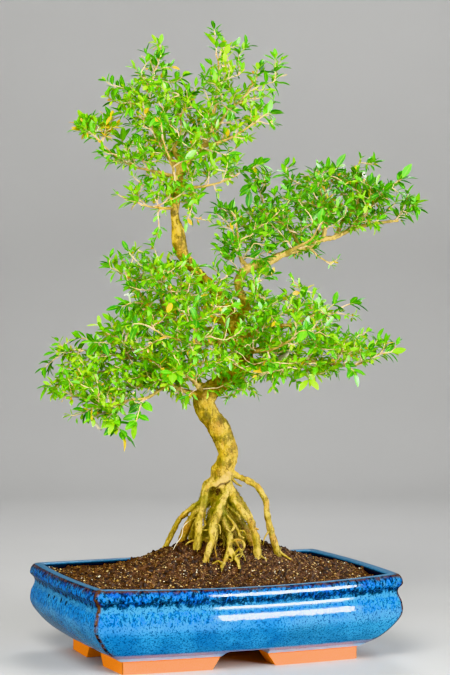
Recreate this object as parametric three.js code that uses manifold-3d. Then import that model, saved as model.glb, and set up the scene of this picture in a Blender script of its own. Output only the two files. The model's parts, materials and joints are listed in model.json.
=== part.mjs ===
// Serissa bonsai growing in a shallow glazed pot.
// Units are millimetres and +Z is up. X runs along the pot's long side and Y across it.
// The tree is drawn in a frame of its own, turned about Z against the pot.
import * as THREE from 'three';
import { mergeVertices } from 'three/addons/utils/BufferGeometryUtils.js';
import Module from 'manifold-3d';

const wasm = await Module();
wasm.setup();

// Driving dimensions of the pot
const POT_LENGTH = 320;
const POT_WIDTH = 216;
const POT_HEIGHT = 83;
const WIDTH_INSET_SHARE = 0.82;
const LONG_BOW = { foot: 6, rim: 19 };
const SHORT_BOW = { foot: 2, rim: 4.5 };
const RIM_SAG = 3;
const CORNER_RADIUS = 5;
const LONG_STEPS = 8;
const SHORT_STEPS = 4;

// Driving dimensions of the feet and the drainage
const FOOT_TOP = 12;
const UNDERSIDE = 19;
const FOOT_ARM_LONG = 91;
const FOOT_ARM_SHORT = 53;
const FOOT_THICKNESS = 22;
const FOOT_END_SLOPE = 10;
const DRAIN_RADIUS = 11;
const DRAIN_SIDES = 16;
const DRAIN_OFFSET = 62;
const SCREEN_SIDE = 40;
const SCREEN_THICKNESS = 1.2;
const SCREEN_CELLS = 3;
const SCREEN_BAR = 2;

// Driving dimensions of the soil and of the fits between pieces
const SEAT_GAP = 0.3;
const WOOD_GAP = 0.36;
const SOIL_GAP = 0.45;
const SOIL_EDGE = 76;
const SOIL_BACK_DROP = 3;
const SOIL_SHRINK = 0.6;
const SOIL_CRUMB = 0.7;
const SOIL_RING_SCALES = [0.985, 0.82, 0.64, 0.46, 0.29, 0.12];
const MOUND = { x: 8, y: 2, height: 36, spreadX: 76, spreadY: 38 };

// Driving dimensions of the tree
const TREE_TURN = THREE.MathUtils.degToRad(-21.5);
const TRUNK_MAKE = { sides: 10, spacing: 15, flute: 0.035 };
const ROOT_MAKE = { sides: 5, spacing: 20 };
const LIMB_MAKE = { sides: 5, spacing: 24 };
const SLIM_LIMB_MAKE = { sides: 4, spacing: 24 };
const THICK_LIMB = 2.9;
const KINK = 2.4;

// Driving dimensions of the sprays: stems, side twigs and the leaves in their tufts
const STEM_RADIUS = { base: 1.15, tip: 0.8 };
const TWIG_RADIUS = { base: 0.9, tip: 0.65 };
const TWIG_REACH = { share: 0.42, least: 13, most: 28 };
const TWIG_PLACES = { one: [0.45], two: [0.34, 0.6], twoFromSpan: 42 };
const LEAF = { length: 21, width: 8.2, thickness: 0.95, fold: 0.11, droop: 0.1 };
const LEAF_CLEARANCE = 0.6;
const TUFT = { stretch: 1.8, sideShare: 0.88, innerShare: 0.86 };
const DRESS_ATTEMPTS = 12;
const TOUCH = 1e-5;
const SEED = 7;

// How a stem may bow upwards and aside, how a leaf may lean and swing: each is tried in this order
const STEM_BOWS = [[0.1, 0], [0, 0], [0.18, 0.1], [0.18, -0.1], [-0.12, 0], [0.1, 0.25], [0.1, -0.25]];
const LEAF_TURNS = [[0.95, 0], [0.7, 0], [1.15, 0], [0.9, 0.4], [0.9, -0.4]];
const FLOWER_TURNS = [0, 0.7, -0.7, 1.4, -1.4];

const UP = new THREE.Vector3(0, 0, 1);

const PALETTE = {
  glaze: { color: 0x1f6fc4, roughness: 0.2, metalness: 0 },
  soil: { color: 0x3a2416, roughness: 0.95, metalness: 0 },
  screen: { color: 0x2d2f31, roughness: 0.6, metalness: 0 },
  bark: { color: 0xb39a4e, roughness: 0.85, metalness: 0 },
  leaf: { color: 0x4fb31c, roughness: 0.45, metalness: 0 },
  petal: { color: 0xf4f4f0, roughness: 0.6, metalness: 0 },
};

// Pot wall from the feet to the rim and down inside, each row an inset from the rim and a height
const POT_OUTSIDE = [
  [36, 0], [36, FOOT_TOP], [30, 15], [20, 21], [12, 28], [5.5, 36], [1.5, 45],
  [-0.5, 56], [1, 65], [4.4, 73], [0.6, 78], [0.4, 81.5], [2, POT_HEIGHT],
];
const POT_INSIDE = [[8, 82], [9.5, 76], [9, 58], [12, 44], [20, 33], [32, 27]];
const POT_FLOOR = 26;

// Trunk, drawn from inside the root crown to the fork of the crown: x, y, z and radius
const TRUNK = [
  [8, 1, 138, 9], [8, 0, 152, 11], [8, 0, 166, 12.5], [9, 0, 184, 12], [13, -1, 194, 10.3],
  [16, -1, 204, 10], [13, 0, 214, 10.1], [6, 1, 231, 9.1], [-6, 2, 247, 9.5], [-9, 3, 259, 10.2],
  [6, 4, 273, 9.8], [24, 5, 284, 9.4], [32, 6, 297, 8.8], [29, 7, 312, 8], [22, 7, 329, 7.3],
  [13, 6, 350, 6.6], [-1, 4, 371, 6], [-13, 3, 383, 5.8], [-23, 2, 394, 5.9], [-31, 0, 405, 6.8],
  [-36, -2, 418, 7.4], [-38, -3, 434, 6.8], [-36, -3, 452, 5.4], [-35, -2, 472, 4.4],
  [-33, -1, 486, 4.4], [-31, 0, 497, 4.8],
];

// Exposed roots from the crown of the trunk down into the soil: x, y, z and radius
const ROOTS = [
  [[12, 0, 186, 5], [24, -2, 181, 3.8], [34, -4, 176, 3.7], [44, -5, 170, 3.6], [53, -5, 156, 3.5],
    [54, -5, 143, 3.3], [57, -4, 130, 3.3], [61, -3, 116, 3.5], [66, -2, 101, 3.4], [68, -2, 76, 2]],
  [[4, 2, 178, 5], [-7, 3, 172, 3.2], [-11, 4, 156, 3], [-23, 5, 147, 2.9], [-35, 6, 135, 2.9],
    [-42, 7, 123, 2.8], [-50, 8, 106, 2.9], [-53, 8, 80, 1.8]],
  [[4, -4, 178, 5], [-6, -10, 168, 3.6], [-9, -14, 160, 3.6], [-12, -18, 148, 3.5],
    [-15, -22, 136, 3.5], [-15, -26, 120, 3.5], [-17, -28, 104, 3.8], [-18, -28, 76, 2]],
  [[12, -5, 182, 5], [15, -11, 171, 4.2], [10, -18, 158, 4], [5, -24, 146, 4], [0, -30, 131, 4],
    [-1, -34, 119, 4.1], [-8, -38, 104, 4], [-10, -39, 74, 2]],
  [[12, -2, 176, 5], [19, -7, 166, 4.2], [22, -11, 156, 4], [30, -15, 146, 4], [37, -18, 135, 3.9],
    [42, -20, 122, 4], [44, -21, 106, 4.2], [45, -21, 76, 2]],
  [[12, 4, 174, 5], [22, 12, 160, 4], [31, 18, 146, 3.8], [38, 24, 130, 3.8], [43, 28, 108, 3.8],
    [44, 29, 80, 2]],
  [[8, -8, 160, 5], [9, -15, 149, 3.4], [13, -20, 135, 3.2], [17, -25, 119, 3.4],
    [11, -32, 103, 2.6], [9, -34, 78, 1.6]],
  [[16, -24, 121, 2.6], [22, -28, 110, 2.6], [26, -31, 99, 2.5], [27, -32, 76, 1.6]],
  [[0, 4, 158, 4.5], [-17, 6, 144, 3], [-26, 8, 132, 2.8], [-31, 10, 118, 2.8], [-34, 12, 104, 2.8],
    [-35, 12, 80, 1.8]],
  [[4, 8, 174, 5], [-6, 20, 154, 4], [-16, 32, 132, 3.8], [-23, 41, 108, 3.8], [-26, 44, 80, 2]],
  [[9, 8, 174, 5], [13, 24, 152, 4], [15, 38, 130, 3.8], [17, 47, 106, 3.8], [18, 49, 80, 2]],
  [[10, 3, 150, 6], [10, 9, 134, 8], [8, 11, 116, 10.5], [8, 11, 88, 9]],
  [[4, -3, 150, 6], [1, -8, 134, 6.5], [-1, -11, 118, 7.5], [-2, -12, 88, 7]],
  [[12, -3, 146, 5], [20, -6, 132, 4.6], [26, -8, 116, 4.6], [27, -9, 86, 3.6]],
];

// Limbs and secondary branches: x, y, z and radius
const LIMBS = {
  right_limb: [[22, 7, 333, 5.6], [33, 4, 351, 5.2], [28, 2, 364, 5], [25, 0, 377, 5], [33, -1, 388, 5.1],
    [56, -2, 397, 4.8], [73, -2, 405, 4.3], [94, -1, 411, 3.7], [110, 0, 419, 3.3], [122, 1, 421, 3.2],
    [141, 1, 430, 2.5], [164, 2, 435, 1.9], [187, 3, 438, 1.4]],
  right_fork: [[110, 0, 417, 3], [113, -4, 436, 2.4], [109, -9, 456, 1.7], [106, -12, 470, 1.2]],
  right_upright: [[124, 1, 422, 2.6], [136, 6, 440, 2.2], [143, 8, 452, 1.8], [145, 9, 474, 1.2]],
  right_outer: [[139, 1, 429, 2.2], [152, -5, 444, 1.9], [166, -10, 458, 1.6], [180, -12, 472, 1.2]],
  right_inner: [[90, -1, 410, 2.4], [76, 6, 428, 1.9], [58, 10, 442, 1.6], [48, 8, 462, 1.1]],
  right_heel: [[36, -1, 389, 2.6], [28, -8, 405, 2.1], [26, -12, 424, 1.6], [22, -12, 442, 1.1]],
  right_back: [[94, -1, 411, 2.6], [101, 20, 420, 2.3], [112, 38, 428, 1.7], [121, 50, 436, 1.1]],
  right_front: [[74, -2, 405, 2.6], [83, -22, 413, 2.2], [96, -38, 421, 1.6], [104, -48, 430, 1.1]],
  right_hook: [[97, -1, 410, 1.4], [109, -3, 402, 1.1], [117, -4, 395, 1], [123, -4, 397, 1]],
  crown_left: [[-33, -1, 490, 3.6], [-46, 0, 504, 3], [-55, 1, 519, 2.6], [-62, 1, 534, 2],
    [-66, 2, 552, 1.3]],
  crown_middle: [[-32, 0, 496, 3.2], [-37, 3, 509, 2.6], [-34, 5, 524, 2.1], [-32, 6, 546, 1.3]],
  crown_right: [[-33, -1, 488, 3.8], [-18, -2, 505, 3.4], [-8, -2, 519, 3], [-2, -1, 540, 2.6],
    [5, 0, 566, 2], [5, 0, 594, 1.4], [3, 0, 606, 1.1]],
  crown_side: [[-9, -2, 516, 2.8], [4, 3, 533, 2.4], [14, 5, 550, 2.1], [28, 6, 561, 1.7],
    [43, 7, 579, 1.2]],
  crown_spur: [[-12, -2, 512, 2.2], [12, -10, 518, 1.8], [30, -16, 528, 1.5], [44, -18, 536, 1.1]],
  crown_low_right: [[-35, -2, 472, 2.4], [-14, -8, 472, 2], [8, -12, 475, 1.7], [24, -14, 483, 1.2]],
  crown_low_left: [[-34, -2, 480, 2.8], [-52, -3, 488, 2.3], [-78, -3, 492, 2], [-101, -4, 503, 1.6],
    [-112, -4, 514, 1.2]],
  crown_under: [[-37, -3, 450, 2], [-54, -8, 451, 1.7], [-72, -10, 453, 1.2]],
  crown_back: [[-34, 0, 476, 3], [-28, 18, 490, 2.6], [-22, 36, 508, 1.9], [-19, 48, 524, 1.2]],
  crown_front: [[-35, -4, 464, 2.8], [-40, -20, 482, 2.4], [-46, -36, 502, 1.8], [-50, -46, 518, 1.2]],
  low_left: [[-9, 3, 260, 5], [-26, -2, 268, 3.8], [-43, -8, 270, 3.4], [-65, -13, 262, 2.7],
    [-86, -18, 256, 2.1], [-104, -21, 253, 1.5]],
  mid_left: [[-5, 3, 264, 4.8], [-28, 6, 282, 4], [-58, 8, 296, 3.2], [-92, 8, 302, 2.5],
    [-118, 7, 304, 1.8], [-134, 5, 308, 1.2]],
  up_left: [[20, 7, 331, 5], [2, 4, 337, 4.4], [-24, 1, 340, 3.9], [-49, -2, 342, 3.3],
    [-64, -5, 354, 2.6], [-76, -7, 369, 1.9], [-84, -9, 378, 1.3]],
  up_left_top: [[-44, -2, 341, 2.8], [-50, 2, 356, 2.2], [-54, 4, 370, 1.7], [-56, 6, 380, 1.2]],
  low_right: [[31, 6, 293, 5.6], [50, 2, 295, 4.4], [76, -4, 296, 3.5], [106, -8, 297, 2.8],
    [136, -9, 293, 2.1], [156, -8, 296, 1.4]],
  mid_right: [[28, 7, 316, 4.6], [50, 6, 327, 3.8], [80, 4, 336, 2.9], [106, 2, 342, 2.1],
    [124, 0, 345, 1.3]],
  back_left: [[21, 8, 326, 4.6], [8, 28, 326, 3.8], [-16, 50, 328, 2.9], [-42, 66, 334, 2],
    [-56, 72, 340, 1.3]],
  back_right: [[30, 8, 306, 4.6], [42, 28, 304, 3.8], [62, 50, 308, 2.8], [86, 66, 316, 1.9],
    [98, 72, 322, 1.3]],
  back_low: [[-7, 4, 262, 4], [-14, 26, 270, 3.2], [-22, 50, 276, 2.3], [-30, 66, 280, 1.4]],
  front_left: [[24, 5, 320, 4.4], [4, -20, 316, 3.6], [-22, -42, 318, 2.7], [-46, -58, 324, 1.8],
    [-58, -64, 330, 1.3]],
  front_right: [[30, 5, 306, 4.2], [43, -18, 306, 3.4], [60, -38, 312, 2.5], [78, -54, 320, 1.4]],
  front_low: [[-7, 1, 262, 3.8], [-16, -20, 274, 3], [-24, -42, 282, 2.1], [-30, -56, 286, 1.3]],
  dead_stub: [[60, -2, 295, 3], [68, -12, 299, 3.4], [74, -17, 305, 2.6], [78, -19, 311, 1.4]],
  dead_bark: [[46, 2, 292, 3.4], [54, -4, 284, 3], [60, -7, 277, 2.2], [63, -8, 264, 1]],
};

// Leafy sprays: the limb each grows from, how far along it, and how far its last leaf reaches
const SPRAYS = {
  crown: [
    ['crown_right', 1, [3, 0, 630]],
    ['crown_right', 0.6, [14, 34, 592]],
    ['crown_side', 1, [56, 10, 603]],
    ['crown_side', 0.74, [76, -6, 584]],
    ['crown_side', 0.45, [52, 40, 566]],
    ['crown_spur', 1, [71, -24, 554]],
    ['crown_low_right', 1, [47, -16, 496]],
    ['crown_middle', 1, [-18, 8, 578]],
    ['crown_left', 1, [-52, 4, 616]],
    ['crown_left', 0.8, [-98, -4, 584]],
    ['crown_low_left', 1, [-137, -4, 538]],
    ['crown_low_left', 0.62, [-98, 26, 534]],
    ['crown_under', 1, [-98, -12, 464]],
    ['crown_back', 1, [-14, 76, 552]],
    ['crown_back', 0.75, [-66, 60, 540]],
    ['crown_front', 1, [-52, -74, 544]],
    ['crown_front', 0.5, [-6, -58, 500]],
  ],
  pad: [
    ['right_limb', 1, [216, 4, 462]],
    ['right_outer', 1, [203, -14, 490]],
    ['right_outer', 0.6, [176, -46, 474]],
    ['right_upright', 1, [142, 10, 502]],
    ['right_upright', 0.5, [170, 40, 470]],
    ['right_fork', 1, [100, -16, 498]],
    ['right_inner', 1, [42, 6, 486]],
    ['right_heel', 1, [8, -16, 462]],
    ['right_back', 1, [132, 68, 456]],
    ['right_front', 1, [116, -68, 446]],
  ],
  low: [
    ['low_left', 1, [-142, -30, 244]],
    ['low_left', 0.66, [-80, -50, 226]],
    ['mid_left', 1, [-178, 2, 292]],
    ['mid_left', 0.8, [-150, 34, 326]],
    ['mid_left', 0.62, [-130, -42, 322]],
    ['mid_left', 0.35, [-62, 48, 322]],
    ['up_left', 1, [-117, -14, 400]],
    ['up_left', 0.72, [-104, -40, 352]],
    ['up_left', 0.45, [-48, -46, 378]],
    ['up_left_top', 1, [-56, 8, 408]],
    ['low_right', 1, [195, -6, 312]],
    ['low_right', 0.76, [150, -46, 284]],
    ['low_right', 0.5, [98, -40, 268]],
    ['mid_right', 1, [160, 2, 362]],
    ['mid_right', 0.6, [94, 6, 384]],
    ['mid_right', 0.35, [52, -40, 362]],
    ['back_left', 1, [-92, 92, 356]],
    ['back_left', 0.55, [-24, 96, 344]],
    ['back_right', 1, [134, 92, 334]],
    ['back_right', 0.55, [44, 96, 326]],
    ['back_low', 1, [-44, 98, 284]],
    ['front_left', 1, [-92, -88, 340]],
    ['front_left', 0.55, [-16, -84, 350]],
    ['front_right', 1, [100, -88, 336]],
    ['front_low', 1, [-46, -94, 290]],
  ],
};

// Sprays that carry a flower, and how far along the stem it stands
const FLOWERS = [['spray_pad_04', 0.8], ['spray_low_08', 0.7], ['spray_crown_11', 0.75]];
const FLOWER = { width: 11, tube: 9, radius: 0.8, lobes: 5, notch: 0.42, cup: 0.8, standoff: 2 };

// A repeatable stream of numbers from 0 to 1
function drawsFrom(seed) {
  let state = seed;
  return () => {
    state = (state + 0x6d2b79f5) | 0;
    let mixed = Math.imul(state ^ (state >>> 15), 1 | state);
    mixed = (mixed + Math.imul(mixed ^ (mixed >>> 7), 61 | mixed)) ^ mixed;
    return ((mixed ^ (mixed >>> 14)) >>> 0) / 4294967296;
  };
}

// Conversions between three.js geometry and solids that can be joined and cut
function solidOf(geometry) {
  const bare = geometry.clone();
  bare.deleteAttribute('normal');
  bare.deleteAttribute('uv');
  const merged = mergeVertices(bare, 1e-4);
  return new wasm.Manifold(new wasm.Mesh({
    numProp: 3,
    vertProperties: new Float32Array(merged.attributes.position.array),
    triVerts: new Uint32Array(merged.index.array),
  }));
}

function geometryOf(solid) {
  const mesh = solid.getMesh();
  const geometry = new THREE.BufferGeometry();
  geometry.setAttribute('position', new THREE.BufferAttribute(mesh.vertProperties, 3));
  geometry.setIndex(new THREE.BufferAttribute(mesh.triVerts, 1));
  geometry.computeVertexNormals();
  return geometry;
}

const joined = (solids) => solids.reduce((whole, solid) => whole.add(solid));

// The biggest body of a solid, without the scraps that a cut leaves
function mainBody(solid) {
  return solid.decompose().reduce((best, body) => (body.volume() > best.volume() ? body : best));
}

// A closed skin over rings with the same number of points, listed from the bottom up
function loft(rings) {
  const count = rings[0].length;
  const positions = rings.flat().flatMap((point) => [point.x, point.y, point.z]);
  const index = [];
  for (let level = 0; level < rings.length - 1; level += 1) {
    for (let i = 0; i < count; i += 1) {
      const next = (i + 1) % count;
      const [a, b] = [level * count + i, level * count + next];
      index.push(a, b, b + count, a, b + count, a + count);
    }
  }
  const top = (rings.length - 1) * count;
  for (let i = 1; i < count - 1; i += 1) {
    index.push(0, i + 1, i, top, top + i, top + i + 1);
  }
  const geometry = new THREE.BufferGeometry();
  geometry.setAttribute('position', new THREE.Float32BufferAttribute(positions, 3));
  geometry.setIndex(index);
  return geometry;
}

// A tapering round branch through hand-chosen points, each x, y, z and radius
function branchSolid(points, { sides, spacing, grow = 0, flute = 0, from = 0 }) {
  const places = points.map(([x, y, z]) => new THREE.Vector3(x, y, z));
  const curve = new THREE.CatmullRomCurve3(places, false, 'centripetal');
  const steps = Math.max(2, Math.round(curve.getLength() / spacing));
  const frames = curve.computeFrenetFrames(steps);
  const rings = [];
  for (let step = Math.floor(from * steps); step <= steps; step += 1) {
    const along = curve.getUtoTmapping(step / steps) * (points.length - 1);
    const row = Math.min(Math.floor(along), points.length - 2);
    const radius = THREE.MathUtils.lerp(points[row][3], points[row + 1][3], along - row) + grow;
    const centre = curve.getPointAt(step / steps);
    rings.push(Array.from({ length: sides }, (_, side) => {
      const angle = (side / sides) * Math.PI * 2;
      const ripple = Math.sin(2 * angle + step * 0.7) + 0.6 * Math.sin(3 * angle - step * 0.5);
      const reach = radius * (1 + flute * ripple);
      return centre.clone()
        .addScaledVector(frames.normals[step], reach * Math.cos(angle))
        .addScaledVector(frames.binormals[step], reach * Math.sin(angle));
    }));
  }
  return solidOf(loft(rings));
}

// Plan of the pot at one height: bowed sides that meet in small round corners
function potRing(inset, z) {
  const rise = THREE.MathUtils.clamp((z - FOOT_TOP) / (POT_HEIGHT - FOOT_TOP), 0, 1);
  const halfLength = POT_LENGTH / 2 - inset;
  const halfWidth = POT_WIDTH / 2 - inset * WIDTH_INSET_SHARE;
  const longBow = THREE.MathUtils.lerp(LONG_BOW.foot, LONG_BOW.rim, rise);
  const shortBow = THREE.MathUtils.lerp(SHORT_BOW.foot, SHORT_BOW.rim, rise);
  const cornerCut = CORNER_RADIUS * (1 - Math.SQRT1_2);
  const half = [];
  for (let i = 0; i <= LONG_STEPS; i += 1) {
    const u = (2 * i) / LONG_STEPS - 1;
    const swell = 1 - u * u;
    half.push([u * (halfLength - CORNER_RADIUS), -halfWidth - longBow * swell, swell]);
  }
  half.push([halfLength - cornerCut, -halfWidth + cornerCut, 0]);
  for (let i = 0; i <= SHORT_STEPS; i += 1) {
    const v = (2 * i) / SHORT_STEPS - 1;
    half.push([halfLength + shortBow * (1 - v * v), v * (halfWidth - CORNER_RADIUS), 0]);
  }
  half.push([halfLength - cornerCut, halfWidth - cornerCut, 0]);
  const other = half.map(([x, y, swell]) => [-x, -y, swell]);
  const sag = RIM_SAG * rise * rise;
  return [...half, ...other].map(([x, y, swell]) => new THREE.Vector3(x, y, z - sag * swell));
}

// A wedge-ended gap between two feet, open below: half its width at the floor, its top, its length
function footGap(halfWidth, length) {
  const section = new THREE.Shape([
    new THREE.Vector2(-halfWidth - 1, -1),
    new THREE.Vector2(halfWidth + 1, -1),
    new THREE.Vector2(halfWidth - FOOT_END_SLOPE, UNDERSIDE),
    new THREE.Vector2(FOOT_END_SLOPE - halfWidth, UNDERSIDE),
  ]);
  const geometry = new THREE.ExtrudeGeometry(section, { depth: length, bevelEnabled: false });
  return geometry.translate(0, 0, -length / 2).rotateX(Math.PI / 2);
}

function potSolid() {
  const rings = [...POT_OUTSIDE, ...POT_INSIDE].map(([inset, z]) => potRing(inset, z));
  const floor = potRing(POT_INSIDE.at(-1)[0] + 4, POT_FLOOR);
  floor.forEach((point) => point.setZ(POT_FLOOR));
  const body = solidOf(loft([...rings, floor]));

  const [footInset] = POT_OUTSIDE[0];
  const footLength = POT_LENGTH - 2 * footInset;
  const footWidth = POT_WIDTH - 2 * footInset * WIDTH_INSET_SHARE;
  const longGap = footGap(footLength / 2 - FOOT_ARM_LONG, POT_WIDTH + 40);
  const shortGap = footGap(footWidth / 2 - FOOT_ARM_SHORT, POT_LENGTH + 40).rotateZ(Math.PI / 2);
  const hollow = new THREE.BoxGeometry(
    footLength - 2 * FOOT_THICKNESS,
    footWidth - 2 * FOOT_THICKNESS + LONG_BOW.foot,
    2 * UNDERSIDE,
  );
  const drains = [-DRAIN_OFFSET, DRAIN_OFFSET].map((x) => {
    const bore = new THREE.CylinderGeometry(DRAIN_RADIUS, DRAIN_RADIUS, 2 * POT_FLOOR, DRAIN_SIDES);
    return solidOf(bore.rotateX(Math.PI / 2).translate(x, 0, 0));
  });
  const cuts = joined([solidOf(longGap), solidOf(shortGap), solidOf(hollow), ...drains]);
  return body.subtract(cuts);
}

// A square of plastic mesh that lies on the pot's floor over a drain hole
function screenSolid() {
  const plate = solidOf(new THREE.BoxGeometry(SCREEN_SIDE, SCREEN_SIDE, SCREEN_THICKNESS));
  const pitch = (SCREEN_SIDE - SCREEN_BAR) / SCREEN_CELLS;
  const openings = [];
  for (let row = 0; row < SCREEN_CELLS; row += 1) {
    for (let column = 0; column < SCREEN_CELLS; column += 1) {
      const x = (column - (SCREEN_CELLS - 1) / 2) * pitch;
      const y = (row - (SCREEN_CELLS - 1) / 2) * pitch;
      const cell = new THREE.BoxGeometry(pitch - SCREEN_BAR, pitch - SCREEN_BAR, 3 * SCREEN_THICKNESS);
      openings.push(solidOf(cell.translate(x, y, 0)));
    }
  }
  return plate.subtract(joined(openings));
}

// Height of the soil: heaped round the roots, level at the rim, with a crumbly surface
function soilTop(x, y) {
  const across = (x - MOUND.x) / MOUND.spreadX;
  const along = (y - MOUND.y) / MOUND.spreadY;
  const heap = MOUND.height * Math.exp(-0.5 * (across * across + along * along));
  const crumb = Math.sin(0.31 * x + 0.9) * Math.cos(0.27 * y) + 0.6 * Math.sin(0.53 * y - 0.19 * x);
  return SOIL_EDGE - (SOIL_BACK_DROP * y) / (POT_WIDTH / 2) + heap + SOIL_CRUMB * crumb;
}

function soilSolid(roots, screens) {
  const wall = POT_INSIDE.slice(1).reverse();
  const rings = wall.slice(0, -1).map(([inset, z]) => potRing(inset + SOIL_GAP, z + SOIL_GAP));
  const [rimInset] = wall.at(-1);
  const shoulder = potRing(rimInset + SOIL_GAP + SOIL_SHRINK, SOIL_EDGE - SOIL_BACK_DROP - 2);
  rings.push(shoulder.map(({ x, y }) => new THREE.Vector3(x, y, soilTop(x, y) - 1.5)));
  for (const scale of SOIL_RING_SCALES) {
    rings.push(shoulder.map(({ x, y }) => {
      const px = MOUND.x + (x - MOUND.x) * scale;
      const py = MOUND.y + (y - MOUND.y) * scale;
      return new THREE.Vector3(px, py, soilTop(px, py));
    }));
  }
  const pockets = screens.map((screen) => {
    const side = SCREEN_SIDE + 2 * SEAT_GAP;
    const depth = SCREEN_THICKNESS + 2 * SEAT_GAP;
    const block = new THREE.BoxGeometry(side, side, 2 * depth);
    return solidOf(block.translate(screen.x, 0, POT_FLOOR + SOIL_GAP));
  });
  return solidOf(loft(rings)).subtract(joined([...pockets, roots]));
}

// A limb's points with the small kinks of old pruned wood between its ends
function limbPath(name) {
  const points = LIMBS[name];
  if (name === 'right_limb') {
    return points;
  }
  return points.map(([x, y, z, radius], i) => {
    const inside = i > 0 && i < points.length - 1 ? KINK : 0;
    const shift = [Math.sin(5.1 * i + 0.37 * z), Math.sin(3.7 * i + 0.21 * x), Math.cos(4.3 * i + 0.3 * y)];
    return [x + inside * shift[0], y + inside * shift[1], z + inside * shift[2], radius];
  });
}

// Trunk, roots and limbs grown together, with a thicker copy for what has to stay clear of them
function woodSolid(grow) {
  const trunk = branchSolid(TRUNK, { ...TRUNK_MAKE, grow });
  const roots = ROOTS.map((root) => branchSolid(root, { ...ROOT_MAKE, grow }));
  const limbs = Object.keys(LIMBS).map((name) => {
    const path = limbPath(name);
    const [, , , thickness] = path[0];
    return branchSolid(path, { ...(thickness > THICK_LIMB ? LIMB_MAKE : SLIM_LIMB_MAKE), grow });
  });
  return joined([trunk, ...roots, ...limbs]);
}

const boxesMeet = (a, b) => [0, 1, 2].every((axis) => a.min[axis] < b.max[axis] && b.min[axis] < a.max[axis]);

// Whether a solid runs into any of the others
function meets(solid, others) {
  const box = solid.boundingBox();
  return others.some((other) => boxesMeet(box, other.boundingBox()) && !solid.intersect(other).isEmpty());
}

const curveThrough = (points) => new THREE.CatmullRomCurve3(
  points.map(([x, y, z]) => new THREE.Vector3(x, y, z)), false, 'centripetal',
);

// The corners of a leaf blade that leaves its base along a direction, upper side turned to the sky
function bladeCorners({ base, direction, facing, length }, grow = 0) {
  const side = new THREE.Vector3().crossVectors(facing, direction).normalize();
  const face = new THREE.Vector3().crossVectors(direction, side);
  const half = (LEAF.width * length) / LEAF.length / 2 + grow;
  const corner = (along, across, lift) => base.clone()
    .addScaledVector(direction, along * length)
    .addScaledVector(side, across * half)
    .addScaledVector(face, lift + LEAF.fold * Math.abs(across) * half - LEAF.droop * length * along * along);
  const thick = LEAF.thickness / 2 + grow;
  return {
    face,
    under: corner(0.36, 0, -thick),
    left: corner(0.42, 1, 0),
    over: corner(0.36, 0, thick),
    right: corner(0.42, -1, 0),
    leftShoulder: corner(0.74, 0.68, 0),
    rightShoulder: corner(0.74, -0.68, 0),
    tip: corner(1 + grow / length, 0, 0),
    heel: corner(-0.02, 0, 0),
  };
}

// A blade on its own, which stands for the space that a leaf needs
function bladeRoom(blade, grow) {
  const { under, left, over, right, tip, heel } = bladeCorners(blade, grow);
  const ring = [under, left, over, right];
  const corners = [...ring, tip, heel];
  const index = ring.flatMap((_, i) => [i, (i + 1) % 4, 4, (i + 1) % 4, i, 5]);
  const geometry = new THREE.BufferGeometry();
  const positions = corners.flatMap((corner) => corner.toArray());
  geometry.setAttribute('position', new THREE.Float32BufferAttribute(positions, 3));
  geometry.setIndex(index);
  return solidOf(geometry);
}

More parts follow.
